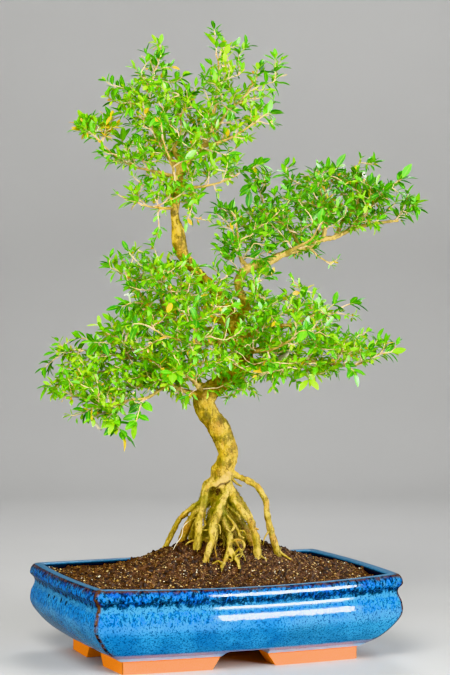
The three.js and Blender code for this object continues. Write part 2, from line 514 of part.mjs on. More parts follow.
// A leafy sprig as one closed skin: leaves and side twigs grow out of the four sides of a shoot.
// Stations are distances along a shoot. One with leaves or a twig bears them on the stretch after it.
class Sprig {
  constructor(findLeaf) {
    this.findLeaf = findLeaf;
    this.points = [];
    this.index = [];
  }

  add(point) {
    return this.points.push(point.clone()) - 1;
  }

  middle(ids) {
    return ids.reduce((sum, id) => sum.addScaledVector(this.points[id], 1 / ids.length), new THREE.Vector3());
  }

  close([a, b, c, d]) {
    this.index.push(a, b, c, a, c, d);
  }

  // The rings of a shoot: corners, the directions its sides face, and the way it runs
  rings({ curve, stations, radii, roll = 0, root = null }) {
    const length = curve.getLength();
    const frame = new THREE.Vector3();
    return stations.map(({ at }, i) => {
      const share = THREE.MathUtils.clamp(at / length, 0, 1);
      const along = curve.getTangentAt(share);
      if (i === 0 && root) {
        frame.copy(this.middle(root.slice(0, 2))).sub(this.middle(root));
      } else if (i === 0) {
        frame.crossVectors(Math.abs(along.z) > 0.9 ? new THREE.Vector3(1, 0, 0) : UP, along);
      }
      frame.addScaledVector(along, -frame.dot(along)).normalize();
      const second = new THREE.Vector3().crossVectors(along, frame);
      const aim = (quarter) => {
        const angle = roll + quarter * (Math.PI / 2);
        return frame.clone().multiplyScalar(Math.cos(angle)).addScaledVector(second, Math.sin(angle));
      };
      const sides = [0, 1, 2, 3].map(aim);
      if (i === 0 && root) {
        return { corners: root, sides, along };
      }
      const centre = curve.getPointAt(share);
      const reach = THREE.MathUtils.lerp(radii.base, radii.tip, share) * Math.SQRT2;
      const corners = sides.map((_, k) => this.add(centre.clone().addScaledVector(aim(k - 0.5), reach)));
      return { corners, sides, along };
    });
  }

  leaf(quad, spec) {
    const blade = this.findLeaf(this.middle(quad), spec);
    if (!blade) {
      this.close(quad);
      return;
    }
    const shape = bladeCorners(blade);
    const height = (i) => this.middle([quad[i], quad[(i + 1) % 4]]).dot(shape.face);
    const low = [0, 1, 2, 3].reduce((best, i) => (height(i) < height(best) ? i : best));
    const root = [0, 1, 2, 3].map((i) => quad[(low + i) % 4]);
    const ring = [shape.under, shape.left, shape.over, shape.right].map((point) => this.add(point));
    const tip = this.add(shape.tip);
    root.forEach((id, i) => {
      const next = (i + 1) % 4;
      this.index.push(id, root[next], ring[i], ring[i], root[next], ring[next]);
    });
    if (!spec.fine) {
      ring.forEach((id, i) => this.index.push(id, ring[(i + 1) % 4], tip));
      return;
    }
    const [under, left, over, right] = ring;
    const leftShoulder = this.add(shape.leftShoulder);
    const rightShoulder = this.add(shape.rightShoulder);
    this.index.push(under, left, leftShoulder, under, leftShoulder, tip);
    this.index.push(left, over, leftShoulder, leftShoulder, over, tip);
    this.index.push(over, right, rightShoulder, over, rightShoulder, tip);
    this.index.push(right, under, rightShoulder, rightShoulder, under, tip);
  }

  shoot(plan) {
    const rings = this.rings(plan);
    if (!plan.root) {
      this.close([...rings[0].corners].reverse());
    }
    for (let i = 0; i < rings.length - 1; i += 1) {
      const [here, there] = [rings[i], rings[i + 1]];
      const { leafSize, twig } = plan.stations[i];
      for (let k = 0; k < 4; k += 1) {
        const next = (k + 1) % 4;
        const quad = [here.corners[k], here.corners[next], there.corners[next], there.corners[k]];
        if (leafSize) {
          const size = leafSize * (k % 2 ? 1 : TUFT.innerShare);
          this.leaf(quad, { size, out: here.sides[k], along: here.along });
        } else if (twig && k === twig.side) {
          this.shoot({ ...twig, root: quad });
        } else {
          this.close(quad);
        }
      }
    }
    const last = rings.at(-1);
    this.leaf(last.corners, { size: plan.stations.at(-1).size, fine: true, along: last.along });
  }

  solid() {
    const geometry = new THREE.BufferGeometry();
    const values = this.points.flatMap((point) => point.toArray());
    geometry.setAttribute('position', new THREE.Float32BufferAttribute(values, 3));
    geometry.setIndex(this.index);
    return solidOf(geometry);
  }
}

// Finds a leaf for a place on a shoot, in one of a few directions, that is clear of everything else
function leafFinder(obstacles, own) {
  return (base, { size, out, along }) => {
    for (const [spread, swing] of out ? LEAF_TURNS : [[0, 0]]) {
      const direction = along.clone();
      if (out) {
        const aside = new THREE.Vector3().crossVectors(along, out);
        direction.multiplyScalar(Math.cos(spread)).addScaledVector(out, Math.sin(spread));
        direction.addScaledVector(aside, Math.sin(swing)).normalize();
      }
      const facing = UP.clone().addScaledVector(along, 0.8);
      facing.addScaledVector(direction, -facing.dot(direction));
      if (facing.lengthSq() < 0.02) {
        facing.crossVectors(direction, new THREE.Vector3(0, 1, 0));
      }
      facing.normalize();
      const blade = { base, direction, facing, length: size };
      const wide = bladeRoom(blade, LEAF_CLEARANCE);
      const outer = bladeRoom({ ...blade, base: base.clone().addScaledVector(direction, 2.5) }, 0.1);
      if (!meets(wide, obstacles) && !meets(outer, own)) {
        own.push(outer);
        return blade;
      }
    }
    return null;
  };
}

// Stations of a shoot: its twigs on the way, and at its end a tuft of four leaves round a fifth
function shootStations(length, size, twigs = []) {
  const nodes = twigs.map((twig) => ({ at: twig.at, twig }));
  nodes.push({ at: length - TUFT.stretch, leafSize: size * TUFT.sideShare });
  const stations = nodes.flatMap((node) => [node, { at: node.at + TUFT.stretch }]);
  stations.at(-1).size = size;
  return [{ at: 0 }, ...stations];
}

// The stem of a spray, bent a little aside where it would run into something
function growStem([limb, share, reach], obstacles) {
  const start = curveThrough(limbPath(limb)).getPointAt(Math.min(share, 0.985));
  const tip = new THREE.Vector3(...reach);
  const heading = tip.clone().sub(start).normalize();
  tip.addScaledVector(heading, -0.85 * LEAF.length);
  const span = tip.distanceTo(start);
  const aside = new THREE.Vector3().crossVectors(heading, UP).normalize();
  for (const [lift, swing] of STEM_BOWS) {
    const path = [0, 0.33, 0.68, 1].map((part) => {
      const bow = Math.sin(Math.PI * part) * span;
      const place = start.clone().lerp(tip, part);
      place.addScaledVector(UP, bow * lift).addScaledVector(aside, bow * swing);
      return [...place, STEM_RADIUS.base];
    });
    const free = branchSolid(path, { sides: 4, spacing: 4, grow: LEAF_CLEARANCE, from: 9 / span });
    if (!meets(free, obstacles)) {
      return { curve: curveThrough(path), free, span };
    }
  }
  return null;
}

// Side twigs of a stem, each on the side of it where there is room
function placeTwigs({ curve, span }, roll, size, obstacles, own, draw) {
  const probe = new Sprig(null);
  const length = curve.getLength();
  const shares = span > TWIG_PLACES.twoFromSpan ? TWIG_PLACES.two : TWIG_PLACES.one;
  const twigs = [];
  shares.forEach((share, i) => {
    const at = share * length;
    const [, ring] = probe.rings({ curve, stations: [{ at: 0 }, { at }], radii: STEM_RADIUS, roll });
    const reach = THREE.MathUtils.clamp(span * TWIG_REACH.share, TWIG_REACH.least, TWIG_REACH.most)
      * (0.85 + 0.3 * draw());
    const first = Math.floor(draw() * 4);
    for (const turn of [0, 2, 1, 3]) {
      const side = (first + turn + i) % 4;
      const aim = ring.along.clone().multiplyScalar(0.55).addScaledVector(ring.sides[side], 0.8);
      aim.addScaledVector(UP, 0.15).normalize();
      const base = curve.getPointAt(share).addScaledVector(ring.sides[side], STEM_RADIUS.tip);
      const end = base.clone().addScaledVector(aim, reach);
      const path = [[...base, TWIG_RADIUS.base], [...end, TWIG_RADIUS.tip]];
      const room = branchSolid(path, { sides: 4, spacing: 6, grow: LEAF_CLEARANCE, from: 3 / reach });
      if (aim.dot(ring.sides[side]) > 0.5 && !meets(room, [...obstacles, ...own])) {
        own.push(branchSolid(path, { sides: 4, spacing: 6, grow: 0.3, from: 3 / reach }));
        const stations = shootStations(reach, size * 0.85);
        twigs.push({ at, side, curve: curveThrough(path), stations, radii: TWIG_RADIUS });
        break;
      }
    }
  });
  return twigs;
}

// A small white flower: a starry corolla on a narrow tube, its foot an offset out from a stem's middle
function flowerSolid({ middle, aim, along }, offset) {
  const foot = middle.clone().addScaledVector(aim, offset);
  const mouth = foot.clone().addScaledVector(aim, FLOWER.tube);
  const tube = [[...foot, FLOWER.radius * 0.7], [...mouth, FLOWER.radius * 1.2]];
  const across = new THREE.Vector3().crossVectors(aim, along).normalize();
  const second = new THREE.Vector3().crossVectors(aim, across);
  const rim = Array.from({ length: FLOWER.lobes * 2 }, (_, i) => {
    const turn = (i / FLOWER.lobes) * Math.PI;
    const reach = (FLOWER.width / 2) * (i % 2 ? FLOWER.notch : 1);
    return mouth.clone()
      .addScaledVector(across, reach * Math.cos(turn))
      .addScaledVector(second, reach * Math.sin(turn))
      .addScaledVector(aim, i % 2 ? 0 : FLOWER.cup);
  });
  const [below, throat] = [-FLOWER.cup, 0.3].map((lift) => mouth.clone().addScaledVector(aim, lift));
  const index = rim.flatMap((_, i) => {
    const next = (i + 1) % rim.length;
    return [i, next, rim.length, next, i, rim.length + 1];
  });
  const corolla = new THREE.BufferGeometry();
  const values = [...rim, throat, below].flatMap((point) => point.toArray());
  corolla.setAttribute('position', new THREE.Float32BufferAttribute(values, 3));
  corolla.setIndex(index);
  return solidOf(corolla).add(branchSolid(tube, { sides: 4, spacing: 20 }));
}

// The way a flower turns on its stem, clear of everything else
function placeFlower({ curve }, share, obstacles) {
  const middle = curve.getPointAt(share);
  const along = curve.getTangentAt(share);
  const side = new THREE.Vector3().crossVectors(along, UP).normalize();
  const above = new THREE.Vector3().crossVectors(side, along);
  const places = FLOWER_TURNS.map((angle) => {
    const aim = above.clone().multiplyScalar(Math.cos(angle)).addScaledVector(side, Math.sin(angle));
    return { middle, aim, along };
  });
  return places.find((place) => !meets(flowerSolid(place, FLOWER.standoff), obstacles));
}

// The flower, moved in along its tube until its foot all but meets the stem
function seatFlower(place, obstacles) {
  let offset = FLOWER.standoff;
  while (offset > SEAT_GAP && !meets(flowerSolid(place, offset - SEAT_GAP), obstacles)) {
    offset -= SEAT_GAP / 4;
  }
  return flowerSolid(place, offset);
}

// Whether any two faces of a skin run through each other
function crossesItself({ points, index }) {
  const faces = [];
  for (let i = 0; i < index.length; i += 3) {
    const ids = index.slice(i, i + 3);
    const corners = ids.map((id) => points[id]);
    faces.push({ ids, corners, box: new THREE.Box3().setFromPoints(corners) });
  }
  const ray = new THREE.Ray();
  const hit = new THREE.Vector3();
  const pierces = (one, other) => one.corners.some((from, i) => {
    const to = one.corners[(i + 1) % 3];
    ray.set(from, to.clone().sub(from).normalize());
    const met = ray.intersectTriangle(...other.corners, false, hit);
    const [before, after] = [hit.distanceTo(from), hit.distanceTo(to)];
    return met && Math.min(before, after) > TOUCH && before < from.distanceTo(to);
  });
  const apart = (one, other) => one.ids.filter((id) => other.ids.includes(id)).length < 2;
  return faces.some((one, i) => faces.slice(i + 1).some((other) => (
    one.box.intersectsBox(other.box) && apart(one, other) && (pierces(one, other) || pierces(other, one))
  )));
}

// A stem with its leaves and one or two side twigs, in one solid, turned until no two leaves cross
function dressStem(stem, obstacles, draw) {
  const { curve } = stem;
  const size = LEAF.length * (0.95 + 0.2 * draw());
  let sprig = null;
  for (let attempt = 0; attempt < DRESS_ATTEMPTS && (!sprig || crossesItself(sprig)); attempt += 1) {
    const own = [];
    const roll = draw() * Math.PI;
    const twigs = placeTwigs(stem, roll, size, obstacles, own, draw);
    own.push(stem.free);
    sprig = new Sprig(leafFinder(obstacles, own));
    sprig.shoot({ curve, stations: shootStations(curve.getLength(), size, twigs), radii: STEM_RADIUS, roll });
  }
  return sprig.solid();
}

// All sprays: every stem is laid out first, and then each is dressed clear of the rest
function growSprays(wood, clearWood) {
  const draw = drawsFrom(SEED);
  const stems = [];
  for (const [region, rows] of Object.entries(SPRAYS)) {
    rows.forEach((row, i) => {
      const stem = growStem(row, [wood, ...stems.map((other) => other.free)]);
      if (stem) {
        stems.push({ ...stem, name: `spray_${region}_${String(i + 1).padStart(2, '0')}` });
      }
    });
  }
  const places = FLOWERS.map(([name, share]) => {
    const stem = stems.find((other) => other.name === name);
    return placeFlower(stem, share, [wood, ...stems.map((other) => other.free)]);
  });
  const done = places.map((place) => flowerSolid(place, FLOWER.standoff));
  const sprays = stems.map((stem, i) => {
    const waiting = stems.slice(i + 1).map((other) => other.free);
    const solid = mainBody(dressStem(stem, [wood, ...waiting, ...done], draw).subtract(clearWood));
    done.push(solid);
    return { name: stem.name, solid, look: PALETTE.leaf };
  });
  const flowers = places.map((place, i) => {
    const solid = seatFlower(place, sprays.map((spray) => spray.solid));
    return { name: `flower_${i + 1}`, solid, look: PALETTE.petal };
  });
  return [...sprays, ...flowers];
}

// Builds a named mesh with a material of its own
function meshOf(name, geometry, look) {
  const mesh = new THREE.Mesh(geometry, new THREE.MeshStandardMaterial(look));
  mesh.name = name;
  return mesh;
}

const group = new THREE.Group();
const potGroup = new THREE.Group();
const tree = new THREE.Group();
tree.rotation.z = TREE_TURN;
group.add(potGroup, tree);

potGroup.add(meshOf('pot', geometryOf(potSolid()), PALETTE.glaze));
const screens = [['left', -DRAIN_OFFSET], ['right', DRAIN_OFFSET]].map(([side, x]) => {
  const screen = meshOf(`drain_screen_${side}`, geometryOf(screenSolid()), PALETTE.screen);
  screen.position.set(x, 0, POT_FLOOR + SEAT_GAP + SCREEN_THICKNESS / 2);
  potGroup.add(screen);
  return screen.position;
});

const wood = woodSolid(0);
const clearWood = woodSolid(WOOD_GAP);
tree.add(meshOf('wood', geometryOf(wood), PALETTE.bark));

const rootHoles = ROOTS.map((root) => (
  branchSolid(root, { ...ROOT_MAKE, grow: WOOD_GAP })
));
const holesInPot = solidOf(geometryOf(joined(rootHoles)).rotateZ(TREE_TURN));
potGroup.add(meshOf('soil', geometryOf(soilSolid(holesInPot, screens)), PALETTE.soil));

for (const { name, solid, look } of growSprays(wood, clearWood)) {
  tree.add(meshOf(name, geometryOf(solid), look));
}

// The origin is the middle of the underside of the box round the whole plant and pot
group.updateMatrixWorld(true);
const box = new THREE.Box3().setFromObject(group, true);
const middle = box.getCenter(new THREE.Vector3());
group.position.set(-middle.x, -middle.y, -box.min.z);

export default group;
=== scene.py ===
"""A serissa bonsai over exposed roots in a shallow glazed pot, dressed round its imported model.

The frame is in metres with +Z up. The pot's sizes and the tree's skeleton are given in
millimetres, as a potter or a grower would, and MM turns them into metres. The tree has a frame
of its own, turned about Z against the pot.
"""

from __future__ import annotations

import json
import logging
import math
from dataclasses import dataclass, field
from enum import Enum
from itertools import combinations
from typing import Any, Iterable, Sequence

import bpy
import numpy as np
from bpy.types import ID, Material, Node, NodeSocket, NodeTree, Object
from mathutils import Matrix, Vector, noise

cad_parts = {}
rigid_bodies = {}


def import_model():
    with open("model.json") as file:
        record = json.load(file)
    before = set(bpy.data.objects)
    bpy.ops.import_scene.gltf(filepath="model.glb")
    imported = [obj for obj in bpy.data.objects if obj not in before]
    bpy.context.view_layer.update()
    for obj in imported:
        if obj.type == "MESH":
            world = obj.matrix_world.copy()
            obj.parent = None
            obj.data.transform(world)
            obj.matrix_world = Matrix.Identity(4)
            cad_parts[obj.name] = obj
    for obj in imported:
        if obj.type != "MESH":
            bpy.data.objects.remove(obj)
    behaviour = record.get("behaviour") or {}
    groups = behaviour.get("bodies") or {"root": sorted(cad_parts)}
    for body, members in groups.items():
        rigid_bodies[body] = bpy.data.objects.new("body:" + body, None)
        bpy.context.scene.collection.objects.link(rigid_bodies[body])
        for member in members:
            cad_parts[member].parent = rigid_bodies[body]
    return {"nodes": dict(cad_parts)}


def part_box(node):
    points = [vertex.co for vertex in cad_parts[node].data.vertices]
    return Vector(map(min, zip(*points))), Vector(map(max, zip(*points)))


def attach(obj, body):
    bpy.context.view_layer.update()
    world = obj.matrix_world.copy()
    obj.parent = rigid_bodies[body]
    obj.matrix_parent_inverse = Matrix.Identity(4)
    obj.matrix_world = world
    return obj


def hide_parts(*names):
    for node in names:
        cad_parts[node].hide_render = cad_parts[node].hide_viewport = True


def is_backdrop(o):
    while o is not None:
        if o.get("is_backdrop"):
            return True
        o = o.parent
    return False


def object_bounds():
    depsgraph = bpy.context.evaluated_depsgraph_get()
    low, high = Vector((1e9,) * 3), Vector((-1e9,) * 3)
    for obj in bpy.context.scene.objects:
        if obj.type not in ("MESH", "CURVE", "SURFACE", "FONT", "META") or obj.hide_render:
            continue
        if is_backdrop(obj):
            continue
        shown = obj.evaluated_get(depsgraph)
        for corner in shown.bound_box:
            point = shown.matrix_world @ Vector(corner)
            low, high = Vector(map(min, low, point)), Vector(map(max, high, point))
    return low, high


LOG = logging.getLogger("bonsai")
MM = 0.001
BODY = "root"
LIMB_SHARE = 0.56
LIMB_KINK = 2.4
FAR = 1e3
Span = tuple[float, float]
Point = tuple[float, float, float]
Knot = tuple[float, float, float, float]
Colour = tuple[float, float, float]
Axes = tuple[np.ndarray, np.ndarray, np.ndarray]
Faces = list[tuple[int, ...]]

# Trunk, drawn from inside the root crown to the fork of the crown: x, y, z and radius
TRUNK: list[Knot] = [
    (8, 1, 138, 9), (8, 0, 152, 11), (8, 0, 166, 12.5), (9, 0, 184, 12), (13, -1, 194, 10.3),
    (15, -1, 204, 10.6), (12, 0, 214, 10.8), (4.5, 1, 231, 10.3), (-7, 2, 247, 10.3), (-9, 3, 259, 10.8),
    (6, 4, 273, 9.8), (24, 5, 284, 9.4), (32, 6, 297, 8.8), (29, 7, 312, 8), (22, 7, 329, 7.3),
    (13, 6, 350, 6.6), (-1, 4, 371, 6), (-13, 3, 383, 5.8), (-23, 2, 394, 5.9), (-31, 0, 405, 6.8),
    (-34.5, -2, 418, 7.9), (-35.5, -2, 429, 7), (-38, -3, 438, 4.7), (-38, -3, 452, 4.2),
    (-35.5, -2, 468, 3.3), (-33.5, -1, 486, 4.4), (-31, 0, 497, 4.8),
]

# Exposed roots from the crown of the trunk down into the soil
ROOTS: list[list[Knot]] = [
    [(12, 0, 186, 5), (24, -2, 181, 3.8), (34, -4, 176, 3.7), (44, -5, 170, 3.6), (53, -5, 156, 3.5),
     (54, -5, 143, 3.3), (57, -4, 130, 3.3), (61, -3, 116, 3.5), (66, -2, 101, 3.4), (68, -2, 76, 2)],
    [(4, 2, 178, 5), (-7, 3, 172, 3.2), (-11, 4, 156, 3), (-23, 5, 147, 2.9), (-35, 6, 135, 2.9),
     (-42, 7, 123, 2.8), (-50, 8, 106, 2.9), (-53, 8, 80, 1.8)],
    [(4, -4, 178, 5), (-6, -10, 168, 3.6), (-9, -14, 160, 3.6), (-12, -18, 148, 3.5), (-15, -22, 136, 3.5),
     (-15, -26, 120, 3.5), (-17, -28, 104, 3.8), (-18, -28, 76, 2)],
    [(12, -5, 182, 5), (15, -11, 171, 4.2), (10, -18, 158, 4), (5, -24, 146, 4), (0, -30, 131, 4),
     (-1, -34, 119, 4), (-6, -42, 106, 3.3), (-9.5, -48, 96, 2), (-10, -51, 80, 1.2)],
    [(12, -2, 176, 5), (19, -7, 166, 4.2), (22, -11, 156, 4), (30, -15, 146, 4), (37, -18, 135, 3.9),
     (42, -20, 122, 4), (44, -21, 106, 4.2), (45, -21, 76, 2)],
    [(12, 4, 174, 5), (22, 12, 160, 4), (31, 18, 146, 3.8), (38, 24, 130, 3.8), (43, 28, 108, 3.8),
     (44, 29, 80, 2)],
    [(8, -8, 160, 5), (9, -15, 149, 3.4), (13, -20, 135, 3.2), (17, -26, 120, 3.3), (17, -31, 109, 3.1),
     (12.5, -41, 101.5, 2.4), (8.5, -51, 95, 2), (7, -54, 80, 1.2)],
    [(17, -30, 110, 2.8), (21, -37, 104, 2.3), (25, -47, 97, 1.9), (27, -51, 80, 1.2)],
    [(0, 4, 158, 4.5), (-17, 6, 144, 3.6), (-25, 8, 132, 4.2), (-31, 10, 118, 4.6), (-34, 12, 104, 4.6),
     (-35, 12, 80, 3)],
    [(4, 8, 174, 5), (-6, 20, 154, 4), (-16, 32, 132, 3.8), (-23, 41, 108, 3.8), (-26, 44, 80, 2)],
    [(9, 8, 174, 5), (13, 24, 152, 4), (15, 38, 130, 3.8), (17, 47, 106, 3.8), (18, 49, 80, 2)],
    [(14, 0, 156, 5), (22, 2, 144, 4), (29, 3, 132, 4.2), (36, 2, 120, 4.6), (40, 0, 104, 4.6),
     (41, 0, 80, 3)],
    [(10, 3, 152, 6), (10, 9, 136, 10), (8, 10, 118, 15), (8, 10, 88, 14)],
    [(4, -3, 150, 6), (0, -8, 134, 7.5), (-3, -9, 118, 10), (-4, -10, 88, 9)],
    [(12, -3, 146, 5), (20, -5, 132, 6), (25, -6, 116, 8), (26, -7, 86, 7)],
]

# Crooked rootlets that show between the front roots, and one long pale fibre
ROOTLETS: list[list[Knot]] = [
    [(11, -18, 145, 1.6), (18.7, -24, 137.4, 1.4), (21.2, -26, 132.6, 1.3), (17.1, -29, 127, 1.1),
     (13.5, -28, 130.5, 0.9)],
    [(14, -16, 143, 1.7), (22.3, -22, 132.4, 1.5), (25.4, -25, 127, 1.3), (27, -29, 123, 1.2),
     (31, -30, 121, 0.9)],
    [(25, -25, 127, 1.1), (30, -27, 128, 1), (33, -29, 125, 0.8)],
    [(17, -28, 117, 1.7), (24.8, -31, 119.3, 1.4), (30, -33, 118, 1.2), (31.2, -35, 112.5, 1.1),
     (27.9, -36, 108, 0.9)],
    [(22, -33, 106, 1.4), (27, -36, 111, 1.2), (29, -38, 106, 1), (26, -39, 102, 0.8)],
    [(14, -10, 152, 1.6), (19.2, -14, 147, 1.4), (26.9, -18, 141.2, 1.1)],
    [(36, -18, 140, 1.6), (42.3, -21, 129.9, 1.3), (45.6, -23, 128.8, 0.8)],
    [(17, -4, 180, 1.8), (24.3, -5, 172.8, 1.2), (29, -5, 170.2, 0.8)],
    [(-8, -14, 152, 1.4), (-8.3, -22, 137.1, 1.2), (-7.6, -24, 133, 1), (-11.2, -26, 130.1, 0.8)],
    [(-15, -27, 119, 1.3), (-22.5, -25, 117, 1), (-27.6, -23, 113.5, 0.7)],
    [(57, -4, 126, 1.2), (52, -5, 118, 0.8), (50.4, -5, 111, 0.5)],
    [(64, -3, 106, 1.8), (73, -4, 99.4, 1.3), (80, -8, 95.6, 0.7)],
    [(4, -24, 140, 1.3), (4, -30, 122, 1), (2, -36, 112, 0.7), (4, -41, 103, 0.5)],
    [(-8, -18, 143, 0.5), (-20, -19, 139, 0.5), (-29.5, -20, 131.4, 0.45), (-31.5, -20, 122, 0.45),
     (-38, -21, 112, 0.4), (-43, -21, 101, 0.35)],
]

# Limbs and secondary branches, from inside what they grow from to their tips
LIMBS: dict[str, list[Knot]] = {
    "right_limb": [
        (22, 7, 333, 5.6), (33, 4, 351, 5.2), (28, 2, 364, 5), (25, 0, 377, 5), (33, -1, 388, 5.1),
        (56, -2, 397, 4.8), (73, -2, 405, 4.3), (94, -1, 411, 3.7), (110, 0, 419, 3.3), (122, 1, 421, 3.2),
        (141, 1, 430, 2.5), (164, 2, 435, 1.9), (187, 3, 438, 1.4),
    ],
    "right_fork": [(110, 0, 417, 3), (113, -4, 436, 2.4), (109, -9, 456, 1.7), (106, -12, 470, 1.2)],
    "right_upright": [(124, 1, 422, 2.6), (136, 6, 440, 2.2), (143, 8, 452, 1.8), (145, 9, 474, 1.2)],
    "right_outer": [(139, 1, 429, 2.2), (152, -5, 444, 1.9), (166, -10, 458, 1.6), (180, -12, 472, 1.2)],
    "right_inner": [(90, -1, 410, 2.4), (76, 6, 428, 1.9), (58, 10, 442, 1.6), (48, 8, 462, 1.1)],
    "right_heel": [(36, -1, 389, 2.6), (28, -8, 405, 2.1), (26, -12, 424, 1.6), (22, -12, 442, 1.1)],
    "right_back": [(94, -1, 411, 2.6), (101, 20, 420, 2.3), (112, 38, 428, 1.7), (121, 50, 436, 1.1)],
    "right_front": [(74, -2, 405, 2.6), (83, -22, 413, 2.2), (96, -38, 421, 1.6), (104, -48, 430, 1.1)],
    "right_hook": [(97, -1, 410, 1.4), (109, -3, 402, 1.1), (117, -4, 395, 1), (123, -4, 397, 1)],
    "crown_left": [
        (-33, -1, 490, 3.6), (-46, 0, 504, 3), (-55, 1, 519, 2.6), (-62, 1, 534, 2), (-66, 2, 552, 1.3),
    ],
    "crown_middle": [(-32, 0, 496, 3.2), (-37, 3, 509, 2.6), (-34, 5, 524, 2.1), (-32, 6, 546, 1.3)],
    "crown_right": [
        (-33, -1, 488, 3.8), (-18, -2, 505, 3.4), (-8, -2, 519, 3), (-2, -1, 540, 2.6), (5, 0, 566, 2),
        (5, 0, 594, 1.4), (3, 0, 606, 1.1),
    ],
    "crown_side": [
        (-9, -2, 516, 2.8), (4, 3, 533, 2.4), (14, 5, 550, 2.1), (28, 6, 561, 1.7), (43, 7, 579, 1.2),
    ],
    "crown_spur": [(-12, -2, 512, 2.2), (12, -10, 518, 1.8), (30, -16, 528, 1.5), (44, -18, 536, 1.1)],
    "crown_low_right": [(-35, -2, 472, 2.4), (-14, -8, 472, 2), (8, -12, 475, 1.7), (24, -14, 483, 1.2)],
    "crown_low_left": [
        (-34, -2, 480, 2.8), (-52, -3, 488, 2.3), (-78, -3, 492, 2), (-101, -4, 503, 1.6),
        (-112, -4, 514, 1.2),
    ],
    "crown_under": [(-37, -3, 450, 2), (-54, -8, 451, 1.7), (-72, -10, 453, 1.2)],
    "crown_back": [(-34, 0, 476, 3), (-28, 18, 490, 2.6), (-22, 36, 508, 1.9), (-19, 48, 524, 1.2)],
    "crown_front": [(-35, -4, 464, 2.8), (-40, -20, 482, 2.4), (-46, -36, 502, 1.8), (-50, -46, 518, 1.2)],
    "low_left": [
        (-9, 3, 260, 5), (-26, -2, 268, 3.8), (-43, -8, 270, 3.4), (-65, -13, 262, 2.7), (-86, -18, 256, 2.1),
        (-104, -21, 253, 1.5),
    ],
    "mid_left": [
        (-5, 3, 264, 4.8), (-28, 6, 282, 4), (-58, 8, 296, 3.2), (-92, 8, 302, 2.5), (-118, 7, 304, 1.8),
        (-134, 5, 308, 1.2),
    ],
    "up_left": [
        (20, 7, 331, 5), (2, 4, 337, 4.4), (-24, 1, 340, 3.9), (-49, -2, 342, 3.3), (-64, -5, 354, 2.6),
        (-76, -7, 369, 1.9), (-84, -9, 378, 1.3),
    ],
    "up_left_top": [(-44, -2, 341, 2.8), (-50, 2, 356, 2.2), (-54, 4, 370, 1.7), (-56, 6, 380, 1.2)],
    "low_right": [
        (31, 6, 293, 5.6), (50, 2, 295, 4.4), (76, -4, 296, 3.5), (106, -8, 297, 2.8), (136, -9, 293, 2.1),
        (156, -8, 296, 1.4),
    ],
    "mid_right": [
        (28, 7, 316, 4.6), (50, 6, 327, 3.8), (80, 4, 336, 2.9), (106, 2, 342, 2.1), (124, 0, 345, 1.3),
    ],
    "back_left": [
        (21, 8, 326, 4.6), (8, 28, 326, 3.8), (-16, 50, 328, 2.9), (-42, 66, 334, 2), (-56, 72, 340, 1.3),
    ],
    "back_right": [
        (30, 8, 306, 4.6), (42, 28, 304, 3.8), (62, 50, 308, 2.8), (86, 66, 316, 1.9), (98, 72, 322, 1.3),
    ],
    "back_low": [(-7, 4, 262, 4), (-14, 26, 270, 3.2), (-22, 50, 276, 2.3), (-30, 66, 280, 1.4)],
    "front_left": [
        (24, 5, 320, 4.4), (4, -20, 316, 3.6), (-22, -42, 318, 2.7), (-46, -58, 324, 1.8),
        (-58, -64, 330, 1.3),
    ],
    "front_right": [(30, 5, 306, 4.2), (43, -18, 306, 3.4), (60, -38, 312, 2.5), (78, -54, 320, 1.4)],
    "front_low": [(-7, 1, 262, 3.8), (-16, -20, 274, 3), (-24, -42, 282, 2.1), (-30, -56, 286, 1.3)],
    "dead_stub": [(60, -2, 295, 3), (68, -12, 299, 3.4), (74, -17, 305, 2.6), (78, -19, 311, 1.4)],
    "dead_bark": [(46, 2, 292, 3.4), (54, -4, 284, 3), (60, -7, 277, 2.2), (63, -8, 264, 1)],
    "dead_curl": [
        (-100, -20, 254, 1.5), (-111, -23, 247, 1.4), (-118, -25, 239, 1.7), (-117, -26, 232, 1.8),
        (-111, -25, 232, 1.6), (-108, -24, 237, 1.1),
    ],
}

